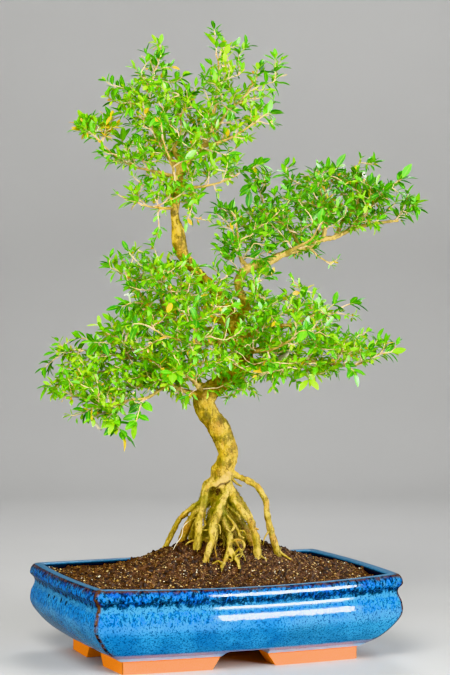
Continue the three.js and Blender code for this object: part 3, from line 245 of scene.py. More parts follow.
# Leafy sprays: the limb each grows from, how far along it, and how far its last leaf reaches
SPRAYS: dict[str, list[tuple[str, float, Point]]] = {
    "crown": [
        ("crown_right", 1, (3, 0, 630)), ("crown_right", 0.6, (14, 34, 592)),
        ("crown_side", 1, (56, 10, 603)), ("crown_side", 0.74, (76, -6, 584)),
        ("crown_side", 0.45, (52, 40, 566)), ("crown_spur", 1, (71, -24, 554)),
        ("crown_low_right", 1, (47, -16, 496)), ("crown_middle", 1, (-18, 8, 578)),
        ("crown_left", 1, (-52, 4, 616)), ("crown_left", 0.8, (-98, -4, 584)),
        ("crown_low_left", 1, (-137, -4, 538)), ("crown_low_left", 0.62, (-98, 26, 534)),
        ("crown_under", 1, (-98, -12, 464)), ("crown_back", 1, (-14, 76, 552)),
        ("crown_back", 0.75, (-66, 60, 540)), ("crown_front", 1, (-52, -74, 544)),
        ("crown_front", 0.5, (-6, -58, 500)),
    ],
    "pad": [
        ("right_limb", 1, (216, 4, 462)), ("right_outer", 1, (203, -14, 490)),
        ("right_outer", 0.6, (176, -46, 474)), ("right_upright", 1, (142, 10, 502)),
        ("right_upright", 0.5, (170, 40, 470)), ("right_fork", 1, (100, -16, 498)),
        ("right_inner", 1, (42, 6, 486)), ("right_heel", 1, (8, -16, 462)), ("right_back", 1, (132, 68, 456)),
        ("right_front", 1, (116, -68, 446)),
    ],
    "low": [
        ("low_left", 1, (-142, -30, 244)), ("low_left", 0.66, (-80, -50, 226)),
        ("mid_left", 1, (-178, 2, 292)), ("mid_left", 0.8, (-150, 34, 326)),
        ("mid_left", 0.62, (-130, -42, 322)), ("mid_left", 0.35, (-62, 48, 322)),
        ("up_left", 1, (-117, -14, 400)), ("up_left", 0.72, (-104, -40, 352)),
        ("up_left", 0.45, (-48, -46, 378)), ("up_left_top", 1, (-56, 8, 408)),
        ("low_right", 1, (195, -6, 312)), ("low_right", 0.76, (150, -46, 284)),
        ("low_right", 0.5, (98, -40, 268)), ("mid_right", 1, (160, 2, 362)), ("mid_right", 0.6, (94, 6, 384)),
        ("mid_right", 0.35, (52, -40, 362)), ("back_left", 1, (-92, 92, 356)),
        ("back_left", 0.55, (-24, 96, 344)), ("back_right", 1, (134, 92, 334)),
        ("back_right", 0.55, (44, 96, 326)), ("back_low", 1, (-44, 98, 284)),
        ("front_left", 1, (-92, -88, 340)), ("front_left", 0.55, (-16, -84, 350)),
        ("front_right", 1, (100, -88, 336)), ("front_low", 1, (-46, -94, 290)),
    ],
}


class Slot(Enum):
    """The record's material slots."""

    GLAZE = "pot_glaze"
    SOIL = "potting_soil"
    SCREEN = "screen_plastic"
    BARK = "bark"
    LEAF = "leaf"
    PETAL = "petal"


class NodeSketch:
    """Adds nodes to a node tree, sets their options and links their sockets in one call."""

    def __init__(self, tree: NodeTree) -> None:
        """Keeps the tree that nodes are added to."""
        self.tree = tree

    def feed(self, node: Node, inputs: dict[int | str, Any]) -> None:
        """Gives a node's input sockets their values, or links output sockets to them.

        Args:
            node: The node.
            inputs: Values or output sockets, by the input's name or index.
        """
        for key, value in inputs.items():
            if isinstance(value, NodeSocket):
                self.tree.links.new(value, node.inputs[key])
            else:
                node.inputs[key].default_value = value

    def add(self, kind: str, inputs: dict[int | str, Any] | None = None, **options: Any) -> Node:
        """Adds one node.

        Args:
            kind: The node's type name.
            inputs: Values or output sockets for its inputs, by name or index.
            options: Properties of the node itself.

        Returns:
            The new node.
        """
        node = self.tree.nodes.new(kind)
        for name, value in options.items():
            setattr(node, name, value)
        self.feed(node, inputs or {})
        return node

    def noise(self, where: NodeSocket, scale: Any, detail: float, roughness: float) -> NodeSocket:
        """Adds a noise pattern from about 0 to 1, with its features in a metre and its octaves."""
        inputs = {"Vector": where, "Scale": scale, "Detail": detail, "Roughness": roughness}
        return self.add("ShaderNodeTexNoise", inputs).outputs["Fac"]

    def ramp(self, value: NodeSocket, low: Any, high: Any, to_low: float = 0.0,
             to_high: float = 1.0) -> NodeSocket:
        """Maps a value from one range to another along a smooth step."""
        inputs = {0: value, 1: low, 2: high, 3: to_low, 4: to_high}
        return self.add("ShaderNodeMapRange", inputs, interpolation_type="SMOOTHSTEP").outputs[0]

    def math(self, operation: str, *values: Any) -> NodeSocket:
        """Works out numbers or sockets."""
        return self.add("ShaderNodeMath", dict(enumerate(values)), operation=operation).outputs[0]

    def vector(self, operation: str, first: Any, second: Any) -> Node:
        """Works out two vectors or sockets."""
        return self.add("ShaderNodeVectorMath", {0: first, 1: second}, operation=operation)

    def times(self, first: Any, *others: Any) -> Any:
        """Multiplies numbers or sockets, one after the other.

        Args:
            first: The first factor.
            others: Any others.

        Returns:
            The product.
        """
        for other in others:
            first = self.math("MULTIPLY", first, other)
        return first

    def lay(self, under: Any, over: Any, *shares: Any) -> NodeSocket:
        """Lays a colour over another, as strongly as the product of the shares."""
        inputs = {0: self.times(*shares), 6: _rgba(under), 7: _rgba(over)}
        return self.add("ShaderNodeMix", inputs, data_type="RGBA").outputs[2]

    def attribute(self, name: str) -> NodeSocket:
        """Reads a number that the mesh carries at its points."""
        return self.add("ShaderNodeAttribute", attribute_name=name).outputs["Fac"]


def _rgba(colour: Any) -> Any:
    """Gives a colour of three numbers its fourth, and leaves a socket as it is."""
    return (*colour, 1.0) if isinstance(colour, tuple) and len(colour) == 3 else colour


def mottle_group() -> NodeTree:
    """Builds the shared effect of soft-edged patches, such as glaze pools, moss or bleached bark.

    Returns:
        A group with Vector, Scale, Stretch, Threshold and Softness inputs and a Mask output.
    """
    existing = bpy.data.node_groups.get("mottle")
    if existing:
        return existing
    tree = bpy.data.node_groups.new("mottle", "ShaderNodeTree")
    tree.interface.new_socket("Vector", in_out="INPUT", socket_type="NodeSocketVector")
    for name, value in (("Scale", 100.0), ("Stretch", 1.0), ("Threshold", 0.5), ("Softness", 0.08)):
        socket = tree.interface.new_socket(name, in_out="INPUT", socket_type="NodeSocketFloat")
        socket.default_value = value
    tree.interface.new_socket("Mask", in_out="OUTPUT", socket_type="NodeSocketFloat")
    sketch = NodeSketch(tree)
    given = sketch.add("NodeGroupInput").outputs
    stretch = sketch.add("ShaderNodeCombineXYZ", {0: 1.0, 1: 1.0, 2: given["Stretch"]}).outputs[0]
    where = sketch.vector("MULTIPLY", given["Vector"], stretch).outputs[0]
    pattern = sketch.noise(where, given["Scale"], 4.0, 0.6)
    low = sketch.math("SUBTRACT", given["Threshold"], given["Softness"])
    high = sketch.math("ADD", given["Threshold"], given["Softness"])
    sketch.add("NodeGroupOutput", {0: sketch.ramp(pattern, low, high)})
    return tree


class Paint(NodeSketch):
    """A material in the making, with its Principled BSDF and its Object coordinates."""

    def __init__(self, name: str, roughness: float, specular: float = 0.5) -> None:
        """Starts a material.

        Args:
            name: The material's name.
            roughness: The roughness where nothing varies it.
            specular: The strength of the plain reflection.
        """
        self.material = bpy.data.materials.new(name)
        self.material.use_nodes = True
        super().__init__(self.material.node_tree)
        self.shader = self.tree.nodes["Principled BSDF"]
        self.feed(self.shader, {"Roughness": roughness, "Specular IOR Level": specular})
        self.place = self.add("ShaderNodeTexCoord").outputs["Object"]

    def height(self) -> NodeSocket:
        """Gives the height above the floor, in metres."""
        return self.add("ShaderNodeSeparateXYZ", {0: self.place}).outputs[2]

    def grain(self, scale: float, detail: float, roughness: float = 0.55) -> NodeSocket:
        """Adds a noise pattern that stays with the object."""
        return self.noise(self.place, scale, detail, roughness)

    def mottle(self, scale: float, stretch: float, threshold: float, softness: float) -> NodeSocket:
        """Places the shared patches.

        Args:
            scale: Features in a metre.
            stretch: How much shorter the patches are upwards than sideways.
            threshold: The level of the pattern where a patch begins.
            softness: Width of a patch's edge.

        Returns:
            The patches' mask.
        """
        inputs = {"Vector": self.place, "Scale": scale, "Stretch": stretch,
                  "Threshold": threshold, "Softness": softness}
        return self.add("ShaderNodeGroup", inputs, node_tree=mottle_group()).outputs["Mask"]

    def zone(self, level: NodeSocket, edges: Knot) -> NodeSocket:
        """Marks the heights that fade in between the first two edges and out between the last two."""
        return self.times(self.ramp(level, edges[0], edges[1]), self.ramp(level, edges[3], edges[2]))

    def layers(self, colour: Any, rows: Iterable[Sequence[Any]]) -> Any:
        """Lays one colour after the other over the first, each row with its shares.

        Args:
            colour: The colour below them all.
            rows: Colours with the shares that make up their strength.

        Returns:
            The colour on top.
        """
        for over, *shares in rows:
            colour = self.lay(colour, over, *shares)
        return colour

    def stops(self, value: NodeSocket, stops: Sequence[tuple[float, Colour]], kind: str) -> NodeSocket:
        """Turns a value into colours.

        Args:
            value: The value.
            stops: The colours with the values that they stand at.
            kind: How it goes from one to the next.

        Returns:
            The colour.
        """
        ramp = self.add("ShaderNodeValToRGB", {0: value})
        ramp.color_ramp.interpolation = kind
        elements = ramp.color_ramp.elements
        for position, _ in stops[2:]:
            elements.new(position)
        for element, (position, colour) in zip(elements, stops):
            element.position = position
            element.color = (*colour, 1.0)
        return ramp.outputs[0]

    def finish(self, colour: NodeSocket, relief: tuple[NodeSocket, float, float] | None = None,
               others: dict[str, Any] | None = None) -> Material:
        """Connects what varies to the shader.

        Args:
            colour: The base colour.
            relief: The pattern that raises the surface, its share and its height in metres.
            others: Further inputs of the shader, by name.

        Returns:
            The finished material.
        """
        inputs = {"Base Color": colour, **(others or {})}
        if relief:
            bump = self.add("ShaderNodeBump", dict(zip(("Height", "Strength", "Distance"), relief)))
            inputs["Normal"] = bump.outputs[0]
        self.feed(self.shader, inputs)
        return self.material


@dataclass(frozen=True)
class GlazeFinish:
    """Azure glaze broken brown on edges, stopping above clay feet; painted shade under the lip and inside."""

    azure: Colour = (0.017, 0.165, 0.41)
    light: Colour = (0.042, 0.280, 0.56)
    pale: Colour = (0.060, 0.225, 0.38)
    speck: Colour = (0.004, 0.028, 0.11)
    cobalt: Colour = (0.010, 0.085, 0.40)
    bright: Colour = (0.012, 0.195, 0.58)
    night: Colour = (0.003, 0.004, 0.009)
    # Near-black of the inner wall: painted shade over the darker inside glaze.
    inside: Colour = (0.003, 0.006, 0.013)
    slate: Colour = (0.045, 0.175, 0.32)
    iron: Colour = (0.085, 0.040, 0.018)
    tint: Colour = (0.85, 0.96, 1.0)
    lavender: Colour = (0.29, 0.25, 0.33)
    drip: Colour = (0.30, 0.46, 0.64)
    clay: Colour = (0.88, 0.26, 0.026)
    burnt: Colour = (0.55, 0.14, 0.02)
    sooty: Colour = (0.10, 0.035, 0.015)
    teal: Colour = (0.060, 0.26, 0.36)
    haze: Colour = (0.15, 0.27, 0.46)
    spots: tuple[Span, ...] = ()
    spots_west_of: float = -130 * MM
    spot_reach: Span = (1.6 * MM, 2.7 * MM)
    foot_line: float = 12.6 * MM
    haze_zone: Knot = (38 * MM, 49 * MM, 50 * MM, 60 * MM)
    streak_zone: Knot = (50 * MM, 55 * MM, 63 * MM, 66 * MM)
    pale_zone: Knot = (62 * MM, 65 * MM, 69 * MM, 71 * MM)
    # The neck under the lip, where black glaze mottles also stand in as painted shade.
    neck_zone: Knot = (68 * MM, 70 * MM, 75 * MM, 77 * MM)
    lip_zone: Knot = (73 * MM, 76 * MM, 81 * MM, 84 * MM)
    edge_zone: Span = (81 * MM, 84.5 * MM)
    band: Span = (69 * MM, 72.5 * MM)

    def body(self, paint: Paint, level: NodeSocket) -> NodeSocket:
        """Colours the walls: speckled azure, bright drips, a misty shoulder and the broken dark band.

        Args:
            paint: The material in the making.
            level: The height in metres, with the wander of the runs.

        Returns:
            The colour.
        """
        ramp, mottle = paint.ramp, paint.mottle
        pools, wide = paint.grain(38.0, 3.0), paint.grain(11.0, 2.0)
        drips, band = paint.zone(level, self.streak_zone), ramp(level, *self.band)
        cloudy = paint.lay(self.cobalt, self.slate, ramp(paint.grain(90.0, 3.0), 0.4, 0.6))
        burnt = paint.lay(self.night, self.iron, mottle(170.0, 1.0, 0.52, 0.05))
        return paint.layers(paint.lay(self.azure, self.light, ramp(pools, 0.35, 0.68)), (
            (self.teal, ramp(wide, 0.45, 0.65, 0.0, 0.4)),
            (self.haze, paint.zone(level, self.haze_zone), ramp(wide, 0.35, 0.6, 0.05, 0.28)),
            (self.pale, paint.zone(level, self.pale_zone), ramp(pools, 0.3, 0.6, 0.25, 0.7)),
            (self.bright, drips, mottle(260.0, 0.5, 0.50, 0.05), 0.8),
            (self.speck, drips, mottle(420.0, 0.45, 0.56, 0.04), 0.75),
            (cloudy, band),
            (self.bright, paint.zone(level, self.lip_zone), mottle(190.0, 0.8, 0.50, 0.05), 0.9),
            (self.night, band, mottle(400.0, 0.5, 0.53, 0.04), 0.92),
            # Black mottles in the neck under the lip: part glaze, part painted shade.
            (self.night, paint.zone(level, self.neck_zone), mottle(300.0, 0.45, 0.47, 0.05), 0.92),
            (burnt, ramp(level, *self.edge_zone), mottle(230.0, 0.7, 0.455, 0.07), 0.85),
            (self.speck, mottle(620.0, 0.8, 0.545, 0.035), 0.74),
            (self.pale, mottle(480.0, 0.9, 0.60, 0.05), 0.30),
            (self.speck, mottle(300.0, 0.8, 0.685, 0.012), 0.9),
        ))

    def spotted(self, paint: Paint, runs: NodeSocket) -> NodeSocket:
        """Marks the ragged dark spots where the glaze has pooled.

        Args:
            paint: The material in the making.
            runs: The pattern that frays their edges.

        Returns:
            The spots' mask.
        """
        flat = paint.vector("MULTIPLY", paint.place, (0, 1, 1)).outputs[0]
        west = paint.add("ShaderNodeSeparateXYZ", {0: paint.place}).outputs["X"]
        marks = paint.math("ADD", 0.0, 0.0)
        ragged = paint.math("MULTIPLY_ADD", runs, 3 * MM, -1.5 * MM)
        for spot in self.spots:
            gap = paint.vector("DISTANCE", flat, (0.0, *spot)).outputs["Value"]
            mark = paint.ramp(paint.math("ADD", gap, ragged), self.spot_reach[1], self.spot_reach[0])
            marks = paint.math("MAXIMUM", marks, mark)
        return paint.times(marks, paint.math("LESS_THAN", west, self.spots_west_of))

    def material(self) -> Material:
        """Builds the glaze and the bare clay below it.

        Returns:
            The pot's material.
        """
        paint = Paint("azure_glaze", roughness=0.08, specular=0.12)
        ramp, mottle = paint.ramp, paint.mottle
        height, rim_top, arris = paint.height(), paint.attribute("rim_top"), paint.attribute("arris")
        runs, grain = paint.grain(160.0, 4.0), paint.grain(900.0, 4.0)
        wander = paint.math("MULTIPLY_ADD", runs, 12 * MM, -6 * MM)
        low = paint.math("ADD", height, paint.math("MULTIPLY_ADD", runs, 1.8 * MM, -0.9 * MM))
        lilac = paint.times(ramp(low, 16 * MM, 17 * MM), ramp(low, 21.5 * MM, 19.5 * MM))
        scorched = paint.lay(self.night, self.iron, mottle(240.0, 0.8, 0.46, 0.06))
        colour = paint.layers(self.body(paint, paint.math("ADD", height, wander)), (
            (paint.lay(self.slate, self.speck, mottle(380.0, 1.0, 0.53, 0.08), 0.4), rim_top),
            # Painted shade: the inner wall is laid near-black over its darker glaze.
            (self.inside, paint.attribute("inside"), 0.99),
            (scorched, arris, ramp(paint.grain(300.0, 4.0), 0.38, 0.52, 0.55, 1.0)),
            (self.night, self.spotted(paint, paint.grain(700.0, 2.0))),
            (self.lavender, lilac, 0.62),
            (self.drip, ramp(low, 17 * MM, 15.6 * MM, 0.0, 0.9)),
        ))
        bare = paint.math("MAXIMUM", ramp(low, self.foot_line + 0.3 * MM, self.foot_line - 0.3 * MM),
                          paint.attribute("under"))
        clay = paint.lay(self.clay, self.burnt, ramp(grain, 0.35, 0.7, 0.0, 0.35))
        clay = paint.lay(clay, self.sooty, arris, 0.8)
        dull = paint.math("MAXIMUM", bare, paint.times(rim_top, 0.45))
        rough = paint.times(grain, ramp(bare, 0.0, 1.0, 0.04, 0.5))
        relief = paint.math("ADD", paint.grain(55.0, 2.0), rough)
        return paint.finish(paint.lay(colour, clay, bare), (relief, 0.35, 0.8 * MM), {
            "Roughness": ramp(dull, 0.0, 1.0, 0.07, 0.74), "Specular Tint": (*self.tint, 1.0)})


@dataclass(frozen=True)
class SoilFinish:
    """Damp dark potting mix."""

    dark: Colour = (0.020, 0.010, 0.006)
    brown: Colour = (0.115, 0.053, 0.028)
    tan: Colour = (0.42, 0.25, 0.10)

    def material(self) -> Material:
        """Builds the surface between the grains.

        Returns:
            The material of the mass of soil.
        """
        paint = Paint("potting_mix", roughness=0.95, specular=0.1)
        colour = paint.lay(self.dark, self.brown, paint.ramp(paint.grain(190.0, 4.0), 0.35, 0.7))
        colour = paint.lay(colour, self.tan, paint.mottle(520.0, 1.0, 0.61, 0.04))
        return paint.finish(colour, (paint.grain(420.0, 4.0), 0.9, 1.2 * MM))


@dataclass(frozen=True)
class GritFinish:
    """Loose bits of bark, pumice and grit, each with a shade of its own."""

    stops: tuple[tuple[float, Colour], ...] = (
        (0.0, (0.020, 0.010, 0.005)), (0.26, (0.062, 0.027, 0.010)), (0.52, (0.135, 0.058, 0.020)),
        (0.68, (0.26, 0.13, 0.036)), (0.80, (0.62, 0.39, 0.11)), (0.90, (0.86, 0.66, 0.28)),
        (0.965, (0.92, 0.86, 0.64)),
    )
    dust: Colour = (0.03, 0.015, 0.01)
    # Painted shade: the grains high on the mound round the trunk are laid darker.
    damp: Colour = (0.018, 0.009, 0.006)
    damp_zone: Span = (90 * MM, 110 * MM)

    def material(self) -> Material:
        """Builds one material that reads each grain's own shade.

        Returns:
            The grains' material.
        """
        paint = Paint("loose_grit", roughness=0.8, specular=0.15)
        fine = paint.grain(1400.0, 3.0)
        colour = paint.layers(paint.stops(paint.attribute("tint"), self.stops, "CONSTANT"), (
            (self.dust, paint.ramp(fine, 0.3, 0.7, 0.0, 0.4)),
            # Painted shade darkens the grains high on the mound round the trunk.
            (self.damp, paint.ramp(paint.height(), *self.damp_zone, 0.0, 0.55)),
        ))
        return paint.finish(colour, (fine, 0.5, 0.4 * MM))


@dataclass(frozen=True)
class BarkFinish:
    """Thin flaking bark, golden olive on the trunk, paler on the roots, green with moss low down."""

    gold: Colour = (0.48, 0.32, 0.026)
    olive: Colour = (0.17, 0.120, 0.004)
    flake: Colour = (0.62, 0.44, 0.07)
    rust: Colour = (0.36, 0.17, 0.026)
    crack: Colour = (0.060, 0.038, 0.005)
    root: Colour = (0.40, 0.285, 0.032)
    cream: Colour = (0.74, 0.55, 0.13)
    limb: Colour = (0.60, 0.43, 0.13)
    scar: Colour = (0.62, 0.44, 0.13)
    # Near-black of the hollow, the crease and the root core: dark rot in the hollow, painted shade in all
    # three.
    hollow: Colour = (0.040, 0.016, 0.005)
    moss: Colour = (0.20, 0.185, 0.008)
    dead: Colour = (0.66, 0.60, 0.44)

    def material(self) -> Material:
        """Builds the bark of the trunk, limbs and roots.

        Returns:
            The bark.
        """
        paint = Paint("serissa_bark", roughness=0.8, specular=0.12)
        ramp, mottle, attribute = paint.ramp, paint.mottle, paint.attribute
        root, limb = attribute("root"), attribute("limb")
        broad, flakes = paint.grain(95.0, 6.0, 0.62), mottle(125.0, 0.75, 0.545, 0.05)
        creases, young = mottle(300.0, 0.45, 0.575, 0.05), ramp(limb, 0.0, 1.0, 0.55, 0.22)
        pale = paint.lay(self.root, self.cream, mottle(120.0, 0.5, 0.50, 0.12))
        colour = paint.layers(paint.lay(self.olive, self.gold, ramp(broad, 0.42, 0.58)), (
            (self.flake, flakes, 0.75),
            (self.rust, mottle(64.0, 0.8, 0.56, 0.07), 0.45),
            (pale, root, 0.82),
            (self.rust, root, mottle(52.0, 1.0, 0.57, 0.06), 0.6),
            (self.limb, limb, 0.75),
            (self.rust, attribute("rust"), 0.8),
            (self.crack, creases, young),
            (self.crack, mottle(700.0, 0.8, 0.585, 0.05), young),
            (self.moss, attribute("moss"), mottle(110.0, 0.8, 0.50, 0.10)),
            (self.scar, attribute("scar"), ramp(broad, 0.42, 0.54, 0.25, 0.95)),
            # Painted shade, and dark rot in the hollow: the hollow, crease and root core go near-black.
            (self.hollow, attribute("hollow"), ramp(creases, 0.0, 1.0, 0.85, 1.0)),
            (self.dead, attribute("dead")),
        ))
        raised = paint.math("ADD", paint.grain(520.0, 5.0), flakes)
        relief = paint.math("SUBTRACT", raised, paint.times(creases, 1.2))
        return paint.finish(colour, (relief, 0.8, 0.6 * MM))


@dataclass(frozen=True)
class MossFinish:
    """Short yellow-green moss."""

    dark: Colour = (0.12, 0.115, 0.006)
    light: Colour = (0.44, 0.37, 0.025)

    def material(self) -> Material:
        """Builds the moss, lighter and darker from tuft to tuft.

        Returns:
            The moss's material.
        """
        paint = Paint("root_moss", roughness=0.85, specular=0.2)
        patches = paint.grain(260.0, 3.0)
        colour = paint.lay(self.dark, self.light, paint.ramp(patches, 0.36, 0.62))
        return paint.finish(colour, (patches, 0.3, 0.2 * MM))


@dataclass(frozen=True)
class TwigFinish:
    """Young bark of fine twigs, tan to ochre, green near the tips."""

    ochre: Colour = (0.84, 0.64, 0.36)
    green: Colour = (0.60, 0.50, 0.13)
    joint: Colour = (0.50, 0.23, 0.05)

    def material(self) -> Material:
        """Builds the twigs' bark.

        Returns:
            The twigs' material.
        """
        paint = Paint("twig_bark", roughness=0.7, specular=0.35)
        rough = paint.grain(700.0, 3.0)
        colour = paint.layers(self.ochre, (
            (self.green, paint.ramp(paint.attribute("young"), 0.5, 1.0, 0.0, 0.7)),
            (self.joint, paint.mottle(190.0, 1.0, 0.57, 0.04), 0.75),
            (self.joint, paint.ramp(rough, 0.45, 0.7, 0.0, 0.35)),
        ))
        return paint.finish(colour, (rough, 0.4, 0.2 * MM))


@dataclass(frozen=True)
class LeafFinish:
    """Glossy small leaves with a pale midrib; old ones turn yellow."""

    deep: Colour = (0.022, 0.22, 0.003)
    fresh: Colour = (0.12, 0.48, 0.008)
    lime: Colour = (0.46, 0.72, 0.02)
    yellow: Colour = (0.95, 0.70, 0.02)
    ochre: Colour = (0.72, 0.30, 0.035)
    rib: Colour = (0.40, 0.68, 0.04)
    glow: Colour = (0.6, 1.0, 0.2)

    def material(self) -> Material:
        """Builds the leaves' skin, which reads each leaf's own shade.

        Returns:
            The leaves' material.
        """
        paint = Paint("serissa_leaf", roughness=0.45, specular=0.24)
        stops = ((0.05, self.deep), (0.42, self.fresh), (0.86, self.lime), (0.93, self.yellow),
                 (0.99, self.ochre))
        rib = paint.ramp(paint.math("ABSOLUTE", paint.attribute("across")), 0.22, 0.02)
        blotch = paint.grain(420.0, 3.0)
        colour = paint.layers(paint.stops(paint.attribute("tint"), stops, "LINEAR"), (
            (self.rib, rib, 0.45),
            (self.deep, paint.ramp(blotch, 0.4, 0.75, 0.0, 0.25)),
        ))
        return paint.finish(colour, (rib, 0.3, 0.3 * MM), {
            "Roughness": paint.ramp(blotch, 0.3, 0.7, 0.38, 0.58), "Subsurface Weight": 0.25,
            "Subsurface Radius": self.glow, "Subsurface Scale": 1.2 * MM})


@dataclass(frozen=True)
class PetalFinish:
    """White petals, faintly green in the throat."""

    white: Colour = (0.86, 0.86, 0.82)
    throat: Colour = (0.55, 0.62, 0.30)
    vein: Colour = (0.7, 0.7, 0.62)

    def material(self) -> Material:
        """Builds the petals' skin.

        Returns:
            The petals' material.
        """
        paint = Paint("white_petal", roughness=0.55, specular=0.3)
        colour = paint.lay(self.white, self.throat, paint.attribute("throat"))
        colour = paint.lay(colour, self.vein, paint.ramp(paint.grain(900.0, 2.0), 0.5, 0.75, 0.0, 0.15))
        return paint.finish(colour, others={"Subsurface Weight": 0.2, "Subsurface Scale": 1 * MM})


@dataclass(frozen=True)
class PlasticFinish:
    """Dark moulded plastic mesh."""

    base: Colour = (0.018, 0.019, 0.02)
    worn: Colour = (0.05, 0.05, 0.05)

    def material(self) -> Material:
        """Builds the drain screens' plastic.

        Returns:
            The plastic.
        """
        paint = Paint("mesh_plastic", roughness=0.5)
        cloud = paint.grain(300.0, 3.0)
        colour = paint.lay(self.base, self.worn, paint.ramp(cloud, 0.3, 0.7, 0.0, 0.6))
        return paint.finish(colour, (cloud, 0.2, 0.2 * MM))


def linked(name: str, data: ID) -> Object:
    """Makes an object of its data and links it to the scene.

    Args:
        name: The object's name.
        data: Its mesh, curve, light or camera.

    Returns:
        The object.
    """
    obj = bpy.data.objects.new(name, data)
    bpy.context.scene.collection.objects.link(obj)
    return obj


def make_object(name: str, points: np.ndarray, faces: Sequence[Sequence[int]], smooth: bool = True,
                attributes: dict[str, Sequence] | None = None) -> Object:
    """Makes a mesh object from points and faces.

    Args:
        name: The object's name.
        points: Corners in metres, one row each.
        faces: Corner numbers of each face.
        smooth: Whether its faces are shaded smooth.
        attributes: Numbers that the points carry, by name.

    Returns:
        The new object.
    """
    mesh = bpy.data.meshes.new(name)
    mesh.from_pydata([tuple(p) for p in np.asarray(points, float)], [], [tuple(f) for f in faces])
    mesh.update()
    mesh.polygons.foreach_set("use_smooth", [smooth] * len(mesh.polygons))
    obj = linked(name, mesh)
    carry(obj, attributes or {})
    return obj


def carry(obj: Object, attributes: dict[str, Sequence]) -> None:
    """Stores numbers, or vectors, at the points of a mesh.

    Args:
        obj: The mesh object.
        attributes: One number or one row of three for each point, by the attribute's name.
    """
    for name, values in attributes.items():
        values = np.asarray(values, np.float32)
        kind, slot = ("FLOAT_VECTOR", "vector") if values.ndim == 2 else ("FLOAT", "value")
        attribute = obj.data.attributes.new(name, kind, "POINT")
        attribute.data.foreach_set(slot, values.ravel())


def corners_of(obj: Object) -> np.ndarray:
    """Gives the points of a mesh object, one row each, in metres.

    Args:
        obj: The mesh object.

    Returns:
        Its points.
    """
    values = np.zeros(len(obj.data.vertices) * 3)
    obj.data.vertices.foreach_get("co", values)
    return values.reshape(-1, 3)


def area_of(obj: Object) -> float:
    """Gives the area of a mesh object, in square metres."""
    return sum(face.area for face in obj.data.polygons)


def remove(*objects: Object) -> None:
    """Deletes helper objects."""
    for obj in objects:
        bpy.data.objects.remove(obj)


def baked(obj: Object, name: str) -> Object:
    """Turns an object with its modifiers into a plain mesh object.

    Args:
        obj: The object, which is removed.
        name: The new object's name.

    Returns:
        The new object.
    """
    graph = bpy.context.evaluated_depsgraph_get()
    mesh = bpy.data.meshes.new_from_object(
        obj.evaluated_get(graph), preserve_all_data_layers=True, depsgraph=graph)
    remove(obj)
    mesh.name = name
    return linked(name, mesh)


def placed(points: np.ndarray, middle: Vector) -> np.ndarray:
    """Takes points in millimetres from the pot's middle to the part's frame, in metres."""
    return points * MM + np.array((middle.x, middle.y, 0.0))


def local(obj: Object, middle: Vector) -> np.ndarray:
    """Gives a piece's points in millimetres from the pot's middle."""
    return (corners_of(obj) - (middle.x, middle.y, 0)) / MM


def about_z(rows: np.ndarray, turn: float) -> np.ndarray:
    """Turns places or directions about Z.

    Args:
        rows: The places or directions.
        turn: The angle, in radians.

    Returns:
        The turned rows.
    """
    c, s = math.cos(turn), math.sin(turn)
    x, y, z = rows[..., 0], rows[..., 1], rows[..., 2]
    return np.stack([x * c - y * s, x * s + y * c, z], axis=-1)


def loft_faces(rings: int, count: int, closed: bool = True) -> Faces:
    """Numbers the faces of a skin over rings that are listed from the bottom up.

    Args:
        rings: How many rings there are.
        count: How many points each has.
        closed: Whether both ends are closed.

    Returns:
        The faces, pointing outwards where a ring runs anticlockwise from above.
    """
    faces = []
    for level in range(rings - 1):
        for i in range(count):
            a, b = level * count + i, level * count + (i + 1) % count
            faces.append((a, b, b + count, a + count))
    if closed:
        top = (rings - 1) * count
        faces += [tuple(reversed(range(count))), tuple(range(top, top + count))]
    return faces


def smoothstep(low: float, high: float, values: np.ndarray) -> np.ndarray:
    """Steps smoothly from 0 at low to 1 at high."""
    t = np.clip((values - low) / (high - low), 0, 1)
    return t * t * (3 - 2 * t)


def run_of(rows: np.ndarray) -> np.ndarray:
    """Gives how far along a path each of its points lies."""
    return np.concatenate([[0], np.cumsum(np.linalg.norm(np.diff(rows[:, :3], axis=0), axis=1))])


def even_steps(rows: np.ndarray, count: int) -> np.ndarray:
    """Walks along a path in even steps."""
    run = run_of(rows)
    return np.stack([np.interp(np.linspace(0, run[-1], count), run, column) for column in rows.T], axis=1)


def spline(knots: Sequence[Sequence[float]], spacing: float) -> np.ndarray:
    """Draws a centripetal Catmull-Rom curve through knots, with even steps.

    Args:
        knots: Places, each with any further numbers that run along with it.
        spacing: The distance between steps, in the knots' unit.

    Returns:
        The curve's points, one row each.
    """
    rows = np.asarray(knots, float)
    rows = np.vstack([2 * rows[0] - rows[1], rows, 2 * rows[-1] - rows[-2]])
    dense = []
    for i in range(1, len(rows) - 2):
        p = rows[i - 1:i + 3]
        gaps = np.maximum(np.linalg.norm(np.diff(p[:, :3], axis=0), axis=1) ** 0.5, 1e-6)
        t0, t1, t2, t3 = 0.0, gaps[0], gaps[0] + gaps[1], gaps.sum()
        t = np.linspace(t1, t2, 17)[:-1, None]
        a1 = (t1 - t) / (t1 - t0) * p[0] + (t - t0) / (t1 - t0) * p[1]
        a2 = (t2 - t) / (t2 - t1) * p[1] + (t - t1) / (t2 - t1) * p[2]
        a3 = (t3 - t) / (t3 - t2) * p[2] + (t - t2) / (t3 - t2) * p[3]
        b1 = (t2 - t) / (t2 - t0) * a1 + (t - t0) / (t2 - t0) * a2
        b2 = (t3 - t) / (t3 - t1) * a2 + (t - t1) / (t3 - t1) * a3
        dense.append((t2 - t) / (t2 - t1) * b1 + (t - t1) / (t2 - t1) * b2)
    line = np.vstack([*dense, rows[-2]])
    return even_steps(line, max(3, int(round(run_of(line)[-1] / spacing)) + 1))


def ways_of(path: np.ndarray) -> np.ndarray:
    """Gives the direction of a path at each of its points."""
    along = np.gradient(path, axis=0)
    return along / np.linalg.norm(along, axis=1)[:, None]


